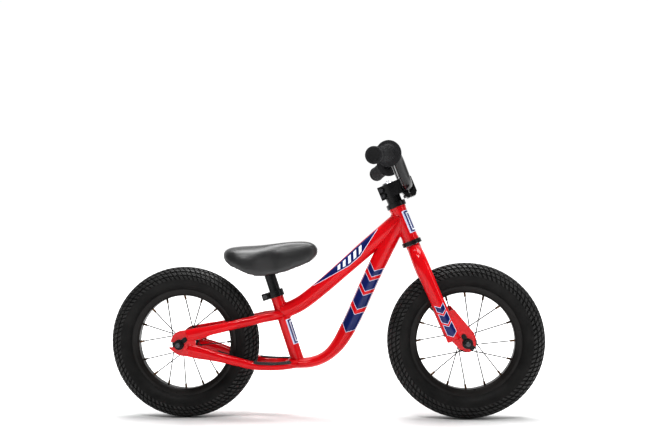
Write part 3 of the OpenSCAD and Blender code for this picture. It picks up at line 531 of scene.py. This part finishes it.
RED_MAT = red_paint()
BLACK_MAT = satin_black("satin_black")
RIM_MAT = satin_black("rim_black", (0.008, 0.007, 0.0065), (0.26, 0.4))
GLOSS_MAT = satin_black("gloss_black", (0.004, 0.004, 0.0045), (0.14, 0.22), coat=0.7,
                        worn=(0.02, 0.02, 0.02))
STEEL_MAT = bare_metal("bright_steel", (0.58, 0.58, 0.60), (0.36, 0.36, 0.38), (0.16, 0.34))
DARK_STEEL_MAT = bare_metal("dark_steel", (0.10, 0.10, 0.105), (0.045, 0.045, 0.047), (0.24, 0.42))
SPOKE_MAT = satin_black("spoke_black", (0.006, 0.006, 0.006), (0.3, 0.42))
BRASS_MAT = bare_metal("dull_brass", (0.16, 0.09, 0.045), (0.06, 0.035, 0.02), (0.3, 0.5))
TYRE_MAT = tyre_rubber("tyre_rubber", 0.16, (0.015, 0.0145, 0.014))
TREAD_MAT = tyre_rubber("tread_rubber", 0.45, (0.022, 0.0215, 0.021))
GRIP_MAT = grip_rubber()
VINYL_MAT = saddle_vinyl()
TAPE_MAT = grip_tape()
PLASTIC_MAT = moulded_plastic()
HEAD_MAT = badge_paint("head_badge_paint", head, steer_up, steer_ahead, 14, 60, 15.6)
SEAT_TUBE_MAT = badge_paint("seat_label_paint", seat_foot, seat_up, seat_ahead, 24, 76, 12.4)

SLOT_MATS = {
    "frame_paint": RED_MAT, "black_paint": BLACK_MAT, "gloss_black": GLOSS_MAT,
    "black_plastic": PLASTIC_MAT, "steel": STEEL_MAT, "dark_steel": DARK_STEEL_MAT,
    "brass": BRASS_MAT, "tyre": TYRE_MAT, "grip_rubber": GRIP_MAT, "tube_rubber": TYRE_MAT,
    "grip_tape": TAPE_MAT, "saddle_vinyl": VINYL_MAT,
}
NODE_MATS = {
    "head_tube": HEAD_MAT, "seat_tube": SEAT_TUBE_MAT, "front_rim": RIM_MAT, "rear_rim": RIM_MAT,
    "front_spokes": SPOKE_MAT, "rear_spokes": SPOKE_MAT,
    "front_axle": DARK_STEEL_MAT, "rear_axle": DARK_STEEL_MAT,
}


def dress_cad_nodes():
    """Gives each CAD node its material and smooth shading."""
    slots = {row["node"]: row["material_slot"] for row in frame["record"]["subparts"]}
    for name, obj in frame["nodes"].items():
        mat = NODE_MATS.get(name, SLOT_MATS[slots[name]])
        obj.data.materials.clear()
        obj.data.materials.append(mat)
        for polygon in obj.data.polygons:
            polygon.use_smooth = True
        obj.data.set_sharp_from_angle(angle=math.radians(35))


# ---- Frame tubes ----

def frame_paths():
    top_r, down_r = 16.2, 16.4
    top = smooth(chord_points(seat_at(0, 94), steer_at(0, 49), [
        [0, 0, 15, 15], [0.05, -6, 15, 15], [0.15, -11.5, 15, 15], [0.31, -11.5, 15, 15],
        [0.47, -9, 15.4, 15.4], [0.66, -5.5, top_r, top_r], [0.82, -2.8, top_r, top_r],
        [0.93, -1.0, top_r - 0.1, top_r], [1, 0, 15.2, 15.4]]), 9)
    down = smooth(chord_points(seat_foot + Vector((-13, 0, -14)), steer_at(0, 53.5), [
        [0, 0, 19, 10.2], [0.05, -23, 19, 10.2], [0.08, -34, 19, 10.2], [0.12, -44, 19, 10.5],
        [0.175, -51.5, 18.5, 11.4], [0.245, -54, 17.5, 13.5], [0.33, -51, 16.6, 15.3],
        [0.435, -44, down_r, 16.2], [0.56, -33.5, down_r, down_r], [0.69, -23, down_r, down_r],
        [0.89, -9, down_r, down_r], [0.95, -4.1, down_r - 0.3, down_r], [1, 0, 15.2, 15.4]]), 9)
    return top, down


REAR_GAP, FRONT_GAP, PLATE_T = 93.0, 89.0, 4.5
STAY_Y = REAR_GAP / 2 + PLATE_T / 2


def stay_paths():
    join = seat_at(0, 87) - rear_axle
    seatstay = smooth([
        [17, STAY_Y, 17.5, 6, 12], [45, STAY_Y - 0.5, 23, 7, 11.3], [62, STAY_Y - 1, 27.4, 8.4, 9.4],
        [90, STAY_Y - 2.5, 33.5, 9, 9], [118, 43.5, 40, 9, 9], [join.x - 57, 40, join.z - 8.5, 9, 9],
        [join.x - 37, 33, join.z - 4, 9, 9], [join.x - 18, 22, join.z - 1.5, 9, 9],
        [join.x - 4, 10, join.z, 8.8, 8.8],
    ], 8)
    foot = seat_foot - rear_axle
    chainstay = smooth([
        [19, STAY_Y, -11, 6, 13], [38, STAY_Y, -15, 6.5, 13], [58, STAY_Y - 1, -19.5, 7.6, 11.5],
        [82, 46, -26, 8.6, 9.4], [115, 44, -34.6, 8.6, 8.6], [146, 42, -42.5, 8, 8],
        [foot.x - 48, 40.5, foot.z - 15.2, 7.7, 7.5], [foot.x - 27, 37, foot.z - 15, 7.7, 7.5],
        [foot.x - 12, 28, foot.z - 14.4, 8, 7.7], [foot.x, 15, foot.z - 14, 8.4, 8],
    ], 8)
    for path in (seatstay, chainstay):
        path[:, 0] += rear_axle.x
        path[:, 2] += rear_axle.z
    return seatstay, chainstay


def bead(name, loop, body, mat, radius=1.7, closed=True):
    """A weld: a rippled bead along a loop of points."""
    pts = np.array(loop, float)
    count = len(pts)
    around = 8
    verts = []
    for i, p in enumerate(pts):
        ahead = pts[(i + 1) % count] if closed or i + 1 < count else p
        back = pts[i - 1] if closed or i > 0 else p
        t = Vector(ahead - back).normalized()
        side = t.orthogonal().normalized()
        up = t.cross(side)
        r = radius * (1 + 0.16 * math.cos(math.pi * i))
        for j in range(around):
            a = 2 * math.pi * j / around
            verts.append(Vector(p) + side * r * math.cos(a) + up * r * math.sin(a))
    faces, corners = grid_faces(count, around, wrap_rows=closed)
    uvs = [[(i / count, j / around) for i, j in face] for face in corners]
    return new_object(name, verts, faces, body, mat, uvs, angle=80)


def meeting_loop(path, ref, distance, sides=72):
    """Where the skin of a swept tube, followed along its length, first meets another surface."""
    _, side, up = ring_frames(path, ref)
    loop = []
    for a in np.linspace(0, 2 * math.pi, sides, endpoint=False):
        line = (path[:, :3] + side * path[:, 3:4] * math.cos(a) + up * path[:, 4:5] * math.sin(a))
        d = np.array([distance(Vector(p)) for p in line])
        inside = np.where(d <= 0)[0]
        if len(inside) == 0:
            continue
        k = inside[0]
        if k == 0:
            loop.append(line[0])
            continue
        f = d[k - 1] / (d[k - 1] - d[k])
        loop.append(line[k - 1] + (line[k] - line[k - 1]) * f)
    return loop


def outside_cylinder(origin, axis, radius):
    def distance(p):
        q = p - origin
        return (q - axis * q.dot(axis)).length - radius
    return distance


def build_frame():
    top, down = frame_paths()
    seatstay, chainstay = stay_paths()
    z = (0, 0, 1)
    top_mat = decal_paint("top_tube_paint", 16, top_tube_art)
    down_mat = decal_paint("down_tube_paint", 16.4, down_tube_art)
    plain = decal_paint("stay_paint", 9, lambda s, u, h: [])
    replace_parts(sweep("top_tube_skin", top, z, "frame", top_mat, 56), "top_tube")
    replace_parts(sweep("down_tube_skin", down, z, "frame", down_mat, 56, round_end=5), "down_tube")
    for side, path in (("left", lambda p: p), ("right", mirrored)):
        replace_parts(sweep(f"seatstay_skin_{side}", path(seatstay), z, "frame", plain, 36, round_end=4),
                    f"seatstay_{side}")
        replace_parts(sweep(f"chainstay_skin_{side}", path(chainstay), z, "frame", plain, 36, round_end=4),
                    f"chainstay_{side}")
    # Welds: each tube is followed from its free side until it meets its neighbour
    head_skin = outside_cylinder(head, steer_up, HEAD_R)
    seat_skin = outside_cylinder(seat_foot, seat_up, SEAT_TUBE_R)
    bead("weld_top_head", meeting_loop(top, z, head_skin), "frame", RED_MAT)
    bead("weld_down_head", meeting_loop(down, z, head_skin), "frame", RED_MAT)
    bead("weld_top_seat", meeting_loop(top[::-1], z, seat_skin), "frame", RED_MAT)
    for side, path in (("left", lambda p: p), ("right", mirrored)):
        bead(f"weld_seatstay_{side}", meeting_loop(path(seatstay), z, seat_skin), "frame", RED_MAT, 1.4)


# ---- Foot rests ----

# The strip's stretch of chainstay path points, and the arc it covers on the left one in degrees
FOOT_RUN = slice(40, 66)
FOOT_ARC = (50, 152)


def build_foot_grips():
    chainstay = stay_paths()[1]
    thick = 1.0
    for side, path in (("left", chainstay), ("right", mirrored(chainstay))):
        run = path[FOOT_RUN]
        _, across, up = ring_frames(run, (0, 0, 1))
        verts = []
        cols = 14
        for i, row in enumerate(run):
            end = min(i, len(run) - 1 - i)
            trim = 5 * max(0, 2 - end)
            first, last = FOOT_ARC if side == "left" else (180 - FOOT_ARC[1], 180 - FOOT_ARC[0])
            inner, outer = first + trim, last - trim
            for lift in (thick, 0.02):
                angles = np.linspace(inner, outer, cols)
                if lift != thick:
                    angles = angles[::-1]
                for a in np.radians(angles):
                    verts.append(row[:3] + across[i] * (row[3] + lift) * math.cos(a)
                                 + up[i] * (row[4] + lift) * math.sin(a))
        faces, corners = grid_faces(len(run), 2 * cols)
        uvs = [[(i * 0.003, j * 0.001) for i, j in face] for face in corners]
        for row in (0, len(run) - 1):
            ring = [row * 2 * cols + j for j in range(2 * cols)]
            faces.append(ring)
            uvs.append([(0.0, 0.0)] * len(ring))
        piece = new_object(f"foot_grip_{side}", verts, faces, "frame", TAPE_MAT, uvs)
        if side == "left":
            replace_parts(piece, "foot_grips")


# ---- Fork ----

def build_fork():
    crown_top = -8.5
    leg_y = FRONT_GAP / 2 + PLATE_T / 2 - 2.5
    leg_end = 15 - 220.2
    rows = [(0, 6, crown_top - 10.5, 11.5, 13.4), (0, 16, crown_top - 13, 12, 13.6),
            (0, 28, crown_top - 22, 12, 13.9), (0, leg_y - 7, crown_top - 37, 11.2, 14),
            (0, leg_y - 3, crown_top - 58, 10.6, 14), (0.5, leg_y - 1.5, -100, 10, 13.4),
            (1.5, leg_y - 0.5, (leg_end - 100) / 2, 9, 13), (3, leg_y + 1, leg_end + 22, 7.4, 13.8),
            (3.6, leg_y + 1.5, leg_end, 6, 14.6)]
    path = smooth([[*steer_at(n, s, y), a, b] for n, y, s, a, b in rows], 10)
    leg_mat = decal_paint("fork_paint", 13.4, leg_art)
    for side, leg in (("left", path), ("right", mirrored(path))):
        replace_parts(sweep(f"fork_leg_skin_{side}", leg, (1, 0, 0), "fork", leg_mat, 44, round_end=1.5),
                    f"fork_leg_{side}")


# ---- Handlebar and grips ----

def bend_path(points, bend_r, steps):
    """A path that turns on an arc at each point between its ends."""
    pts = [Vector(p) for p in points]
    out = [pts[0]]
    for a, b, c in zip(pts, pts[1:], pts[2:]):
        u1 = (b - a).normalized()
        u2 = (c - b).normalized()
        turn = u1.angle(u2)
        centre = b + (u2 - u1).normalized() * bend_r / math.cos(turn / 2)
        x = (b - u1 * bend_r * math.tan(turn / 2) - centre).normalized()
        for k in range(steps + 1):
            t = turn * k / steps
            out.append(centre + (x * math.cos(t) + u1 * math.sin(t)) * bend_r)
    out.append(pts[-1])
    return out


def bar_half_points():
    bar_s = 100.8
    for_n = 32.7
    return [steer_at(for_n, bar_s, 38), steer_at(for_n + 0.7, bar_s + 65, 68),
            steer_at(for_n - 41.4, bar_s + 65 - 2.4, 204)]


def dense(points, step):
    """The same path with its long straight runs cut into short ones."""
    out = [points[0]]
    for a, b in zip(points, points[1:]):
        n = max(1, int((b - a).length / step))
        out.extend(a.lerp(b, k / n) for k in range(1, n + 1))
    return out


def build_handlebar():
    half = bar_half_points()
    other = [Vector((p.x, -p.y, p.z)) for p in reversed(half)]
    pts = dense(bend_path(other + half, 34, 14), 8)
    path = np.array([[*p, BAR_R, BAR_R] for p in pts])
    bar = sweep("handlebar_skin", path, steer_ahead, "fork", GLOSS_MAT, 40)
    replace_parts(bar, "handlebar")


def grip_profile(length):
    """Radius and height of the grip: flange, waist, ribs and end bead, then back along the bore."""
    prof = [(BAR_R, 0), (22.6, 0), (24.2, 0.7), (24.5, 2), (24.2, 3.3), (22.6, 4.1), (19.5, 4.6), (17.2, 6.2),
            (15.9, 9)]
    z = 11.0
    while z < length - 16:
        r = 15.6 + (14.4 - 15.6) * z / length
        prof += [(r, z), (r + 0.1, z + 1.6), (r - 0.55, z + 2.1), (r - 0.55, z + 2.7)]
        z += 3.2
    prof += [(14.5, length - 13), (13.6, length - 11.5), (13.6, length - 10), (14.9, length - 8.6),
             (15.6, length - 5), (15.6, length - 2.2), (14.9, length - 0.6), (13.6, length), (BAR_R, length)]
    return prof


def build_grips():
    half = bar_half_points()
    along = (half[2] - half[1]).normalized()
    end = half[2] + along * 2
    length = 100
    for side, flip in (("left", 1), ("right", -1)):
        tilt = Vector((along.x, along.y * flip, along.z))
        tip = Vector((end.x, end.y * flip, end.z))
        place = axis_place(tip - tilt * length, tilt)
        grip = lathe(f"grip_skin_{side}", grip_profile(length), place, "fork", GRIP_MAT, 96, 50)
        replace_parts(grip, f"grip_{side}")


# ---- Saddle ----

SADDLE_L, SADDLE_W = 192.0, 114.0
BASE_T = 4.0
SADDLE_ROWS = [
    [0, 26.5, 22.5, 0.10], [0.008, 30, 18.5, 0.32], [0.03, 34, 13, 0.56], [0.075, 38.4, 6, 0.78],
    [0.16, 40.2, -2, 0.95], [0.25, 40.3, -10.5, 1], [0.35, 40.6, -17.5, 0.93], [0.45, 41.8, -18.5, 0.74],
    [0.56, 43.8, -15.5, 0.55], [0.67, 46.2, -10, 0.46], [0.77, 47.6, -4, 0.42], [0.87, 47.2, 3.5, 0.38],
    [0.94, 43.8, 10.5, 0.31], [0.98, 37.4, 17, 0.21], [0.995, 32.5, 21.5, 0.12], [1, 30, 24.5, 0.05],
]


# The rounded lower edge: shares of the lip inwards and of the drop downwards
SADDLE_LIP = ((0.06, 0.45), (0.2, 0.85), (0.4, 1.0), (0.62, 0.8), (0.8, 0.3))


def saddle_ring(q, origin_x, base_z, arc):
    share, top, low, wide = q
    half = wide * SADDLE_W / 2
    lip = min(12, 0.45 * half)
    drop = min(3.2, 0.28 * half)
    top += 2 + 2.6 * share
    low += 2 + drop * 0.7
    up = max(low + 0.6, BASE_T + 0.2)
    x = origin_x + SADDLE_L * share
    ring = []
    for j in range(arc + 1):
        a = math.pi * j / arc
        c, s = math.cos(a), max(0.0, math.sin(a))
        y = math.copysign(abs(c) ** 0.72, c) * half
        ring.append((x, y, base_z + low + (top - low) * s ** 0.62))
    inner = [(half - lip * a, low - drop * b) for a, b in SADDLE_LIP]
    inner.append((half - lip, up))
    ring += [(x, -y, base_z + z) for y, z in inner]
    ring.append((x, 0, base_z + up + 0.6))
    ring += [(x, y, base_z + z) for y, z in reversed(inner)]
    return ring


def inflate(obj, cap):
    """Lets the cover swell as cloth over its foam, and keeps each point within cap of where it was."""
    before = np.array([v.co for v in obj.data.vertices])
    cloth = obj.modifiers.new("cloth", "CLOTH")
    cloth.settings.quality = 6
    cloth.settings.use_pressure = True
    cloth.settings.uniform_pressure_force = 4
    cloth.settings.effector_weights.gravity = 0
    cloth.settings.tension_stiffness = 30
    cloth.settings.compression_stiffness = 30
    cloth.settings.shear_stiffness = 12
    cloth.settings.bending_stiffness = 6
    scene = bpy.context.scene
    for number in range(1, 21):
        scene.frame_set(number)
    done = obj.evaluated_get(bpy.context.evaluated_depsgraph_get())
    after = np.array([v.co for v in done.data.vertices])
    obj.modifiers.remove(cloth)
    scene.frame_set(1)
    move = after - before
    size = np.linalg.norm(move, axis=1, keepdims=True)
    move *= np.minimum(1, cap / np.maximum(size, 1e-9))
    obj.data.vertices.foreach_set("co", (before + move).ravel())


def build_saddle():
    low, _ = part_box("saddle_base")
    base_z = low.z / MM
    origin_x = low.x / MM - 38
    arc = 44
    rows = smooth(SADDLE_ROWS, 5)
    rings = [saddle_ring(q, origin_x, base_z, arc) for q in rows]
    n = len(rings[0])
    verts = [p for ring in rings for p in ring]
    faces, _ = grid_faces(len(rings), n)
    faces.append(list(range(n)))
    faces.append([(len(rings) - 1) * n + j for j in range(n)])
    pad = new_object("saddle_cover", verts, faces, "saddle", VINYL_MAT, angle=70)
    shrink = 0.5 * MM
    bm = bmesh.new()
    bm.from_mesh(pad.data)
    bm.normal_update()
    for v in bm.verts:
        v.co -= v.normal * shrink
    bm.to_mesh(pad.data)
    bm.free()
    bpy.context.view_layer.objects.active = pad
    remesh = pad.modifiers.new("remesh", "REMESH")
    remesh.mode = "VOXEL"
    remesh.voxel_size = 4 * MM
    apply_modifier(pad, remesh)
    inflate(pad, 1.6 * MM)
    relax = pad.modifiers.new("relax", "SMOOTH")
    relax.factor = 0.5
    relax.iterations = 9
    apply_modifier(pad, relax)
    subsurf = pad.modifiers.new("subsurf", "SUBSURF")
    subsurf.levels = 1
    subsurf.render_levels = 1
    apply_modifier(pad, subsurf)
    for polygon in pad.data.polygons:
        polygon.use_smooth = True
    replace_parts(pad, "saddle_pad")


def apply_modifier(obj, modifier):
    """Bakes a modifier into the mesh."""
    done = obj.evaluated_get(bpy.context.evaluated_depsgraph_get())
    mesh = bpy.data.meshes.new_from_object(done)
    mats = list(obj.data.materials)
    obj.modifiers.remove(modifier)
    obj.data = mesh
    obj.data.materials.clear()
    for mat in mats:
        obj.data.materials.append(mat)


# ---- Tyres ----

TYRE_HALF_W = 24.5
TYRE_MID_R = TYRE_R - TYRE_HALF_W
TREAD_H = 2.7
TREAD_EDGE = 88


def tyre_profile():
    """Radius and height of the casing: outside from bead to bead, then back inside."""
    outer = []
    for deg in range(-146, 147, 4):
        side = abs(deg)
        depth = TREAD_H if side < TREAD_EDGE + 2 else 0.35
        r = TYRE_HALF_W - depth
        if 98 < side < 102 or 126 < side < 130:
            r += 0.35
        a = math.radians(deg)
        outer.append((TYRE_MID_R + r * math.cos(a), r * math.sin(a)))
    low_bead = [(102, -10.8), (102, -7.6)]
    inner = []
    for deg in range(-150, 151, 10):
        a = math.radians(-deg)
        inner.append((TYRE_MID_R + 20.8 * math.cos(a), 20.8 * math.sin(a)))
    high_bead = [(102, 7.6), (102, 10.8)]
    return outer + high_bead[::-1] + inner + low_bead[::-1]


def tread_blocks():
    """Slanted blocks in rows over the tread: corner points and faces in the wheel's own frame."""
    rng = random.Random(7)
    verts = []
    faces = []
    per_row = 88
    pitch = 2 * math.pi / per_row
    rows = 9
    for row in range(rows):
        phi0 = math.radians(-TREAD_EDGE + 6 + (2 * TREAD_EDGE - 12) * row / (rows - 1))
        lean = 1 if phi0 >= 0 else -1
        edge_row = row in (0, rows - 1)
        half_across = 3.2 / TYRE_HALF_W
        for i in range(per_row):
            theta0 = pitch * (i + 0.5 * (row % 2)) + rng.uniform(-0.0015, 0.0015)
            ring_r = TYRE_MID_R + TYRE_HALF_W * math.cos(phi0)
            half_along = (3.7 if not edge_row else 2.9) * (0.75 + 0.25 * ring_r / TYRE_R)
            base = len(verts)
            for height, taper in ((-0.6, 1.12), (TREAD_H - 0.35, 1.0), (TREAD_H, 0.82)):
                for du, dv in ((-1, -1), (1, -1), (1, 1), (-1, 1)):
                    phi = phi0 + dv * half_across * taper
                    slant = lean * dv * 2.4
                    r = TYRE_HALF_W - TREAD_H + height
                    ring = TYRE_MID_R + r * math.cos(phi)
                    theta = theta0 + (du * half_along * taper + slant) / ring_r
                    verts.append((ring * math.cos(theta), ring * math.sin(theta), r * math.sin(phi)))
            for level in (0, 4):
                for k in range(4):
                    k2 = (k + 1) % 4
                    ring0 = base + level
                    faces.append([ring0 + k, ring0 + k2, ring0 + 4 + k2, ring0 + 4 + k])
            faces.append([base + 8, base + 9, base + 10, base + 11])
            faces.append([base + 3, base + 2, base + 1, base])
    return verts, faces


def build_tyre(which, centre):
    place = axis_place(centre, (0, 1, 0))
    casing = lathe(f"{which}_tyre_casing", tyre_profile(), place, f"{which}_wheel", TYRE_MAT, 192, 30)
    verts, faces = tread_blocks()
    verts = [place @ Vector(v) for v in verts]
    uvs = [[(verts[k].x * MM, verts[k].z * MM) for k in face] for face in faces]
    tread = new_object(f"{which}_tyre_tread", verts, faces, f"{which}_wheel", TREAD_MAT, uvs, 25)
    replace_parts(casing, f"{which}_tyre")


# ---- Stage ----

def build_stage():
    floor_mesh = bpy.data.meshes.new("floor")
    size = 30
    corners = [(-size, -size, 0), (size, -size, 0), (size, size, 0), (-size, size, 0)]
    floor_mesh.from_pydata(corners, [], [[0, 1, 2, 3]])
    floor = bpy.data.objects.new("floor", floor_mesh)
    bpy.context.scene.collection.objects.link(floor)
    # The floor brightens into a plain white sweep away from the object
    s = Shader("floor_white", (0.86, 0.86, 0.86), 0.7, specular=0.1)
    s.color(s.mix(s.noise(2.0, 2), (0.87, 0.87, 0.87), (0.85, 0.85, 0.85)))
    reach = s.node("ShaderNodeVectorMath", operation="LENGTH")
    s.link(s.place, reach.inputs[0])
    s.set("Emission Color", (1, 1, 1, 1))
    s.link(s.span(reach.outputs["Value"], 0.45, 1.1, 0.0, 0.9), s.bsdf.inputs["Emission Strength"])
    floor_mesh.materials.append(s.mat)
    # A white sweep behind the object and a dim room on the near side
    world = bpy.data.worlds.new("studio")
    bpy.context.scene.world = world
    world.use_nodes = True
    nodes = world.node_tree.nodes
    links = world.node_tree.links
    background = nodes["Background"]
    background.inputs["Strength"].default_value = 1.0
    place = nodes.new("ShaderNodeTexCoord")
    split = nodes.new("ShaderNodeSeparateXYZ")
    links.new(place.outputs["Generated"], split.inputs[0])
    reach = nodes.new("ShaderNodeMapRange")
    reach.interpolation_type = "SMOOTHSTEP"
    for key, value in (("From Min", 0.05), ("From Max", 0.6), ("To Min", 0.22), ("To Max", 1.02)):
        reach.inputs[key].default_value = value
    links.new(split.outputs["Y"], reach.inputs["Value"])
    links.new(reach.outputs["Result"], background.inputs["Color"])
    for name, spot, aim, width, height, power in (
        ("key_softbox", (-0.25, -1.25, 2.2), (0, 0, 0.25), 1.0, 0.32, 26),
        ("top_softbox", (0.1, 0.25, 2.6), (0, 0, 0.1), 2.4, 1.1, 84),
        ("side_strip", (2.3, -1.0, 1.3), (0, 0, 0.3), 0.5, 1.6, 10),
    ):
        light = bpy.data.lights.new(name, "AREA")
        light.shape = "RECTANGLE"
        light.size = width
        light.size_y = height
        light.energy = power
        lamp = bpy.data.objects.new(name, light)
        lamp.location = spot
        lamp.rotation_euler = (Vector(aim) - Vector(spot)).to_track_quat("-Z", "Y").to_euler()
        bpy.context.scene.collection.objects.link(lamp)
    bpy.context.scene.view_settings.view_transform = "Standard"
    bpy.context.scene.view_settings.gamma = 0.86


def build_camera():
    yaw, pitch, roll = math.radians(-6.444), math.radians(-0.388), math.radians(-1.013)
    ahead = Vector((math.sin(yaw) * math.cos(pitch), math.cos(yaw) * math.cos(pitch), math.sin(pitch)))
    right = Vector((math.cos(yaw), -math.sin(yaw), 0))
    up = right.cross(ahead)
    across = right * math.cos(roll) + up * math.sin(roll)
    upward = up * math.cos(roll) - right * math.sin(roll)
    data = bpy.data.cameras.new("camera")
    data.sensor_width = 36
    data.lens = 44.77
    data.shift_x = 0.0462
    data.shift_y = 0.0462
    camera = bpy.data.objects.new("camera", data)
    camera.matrix_world = (Matrix.Translation((0.1292, -1.6053, 0.3512))
                           @ Matrix((across, upward, -ahead)).transposed().to_4x4())
    bpy.context.scene.collection.objects.link(camera)
    bpy.context.scene.camera = camera


dress_cad_nodes()
build_frame()
build_foot_grips()
build_fork()
build_handlebar()
build_grips()
build_saddle()
build_tyre("front", front_axle)
build_tyre("rear", rear_axle)
build_stage()
build_camera()
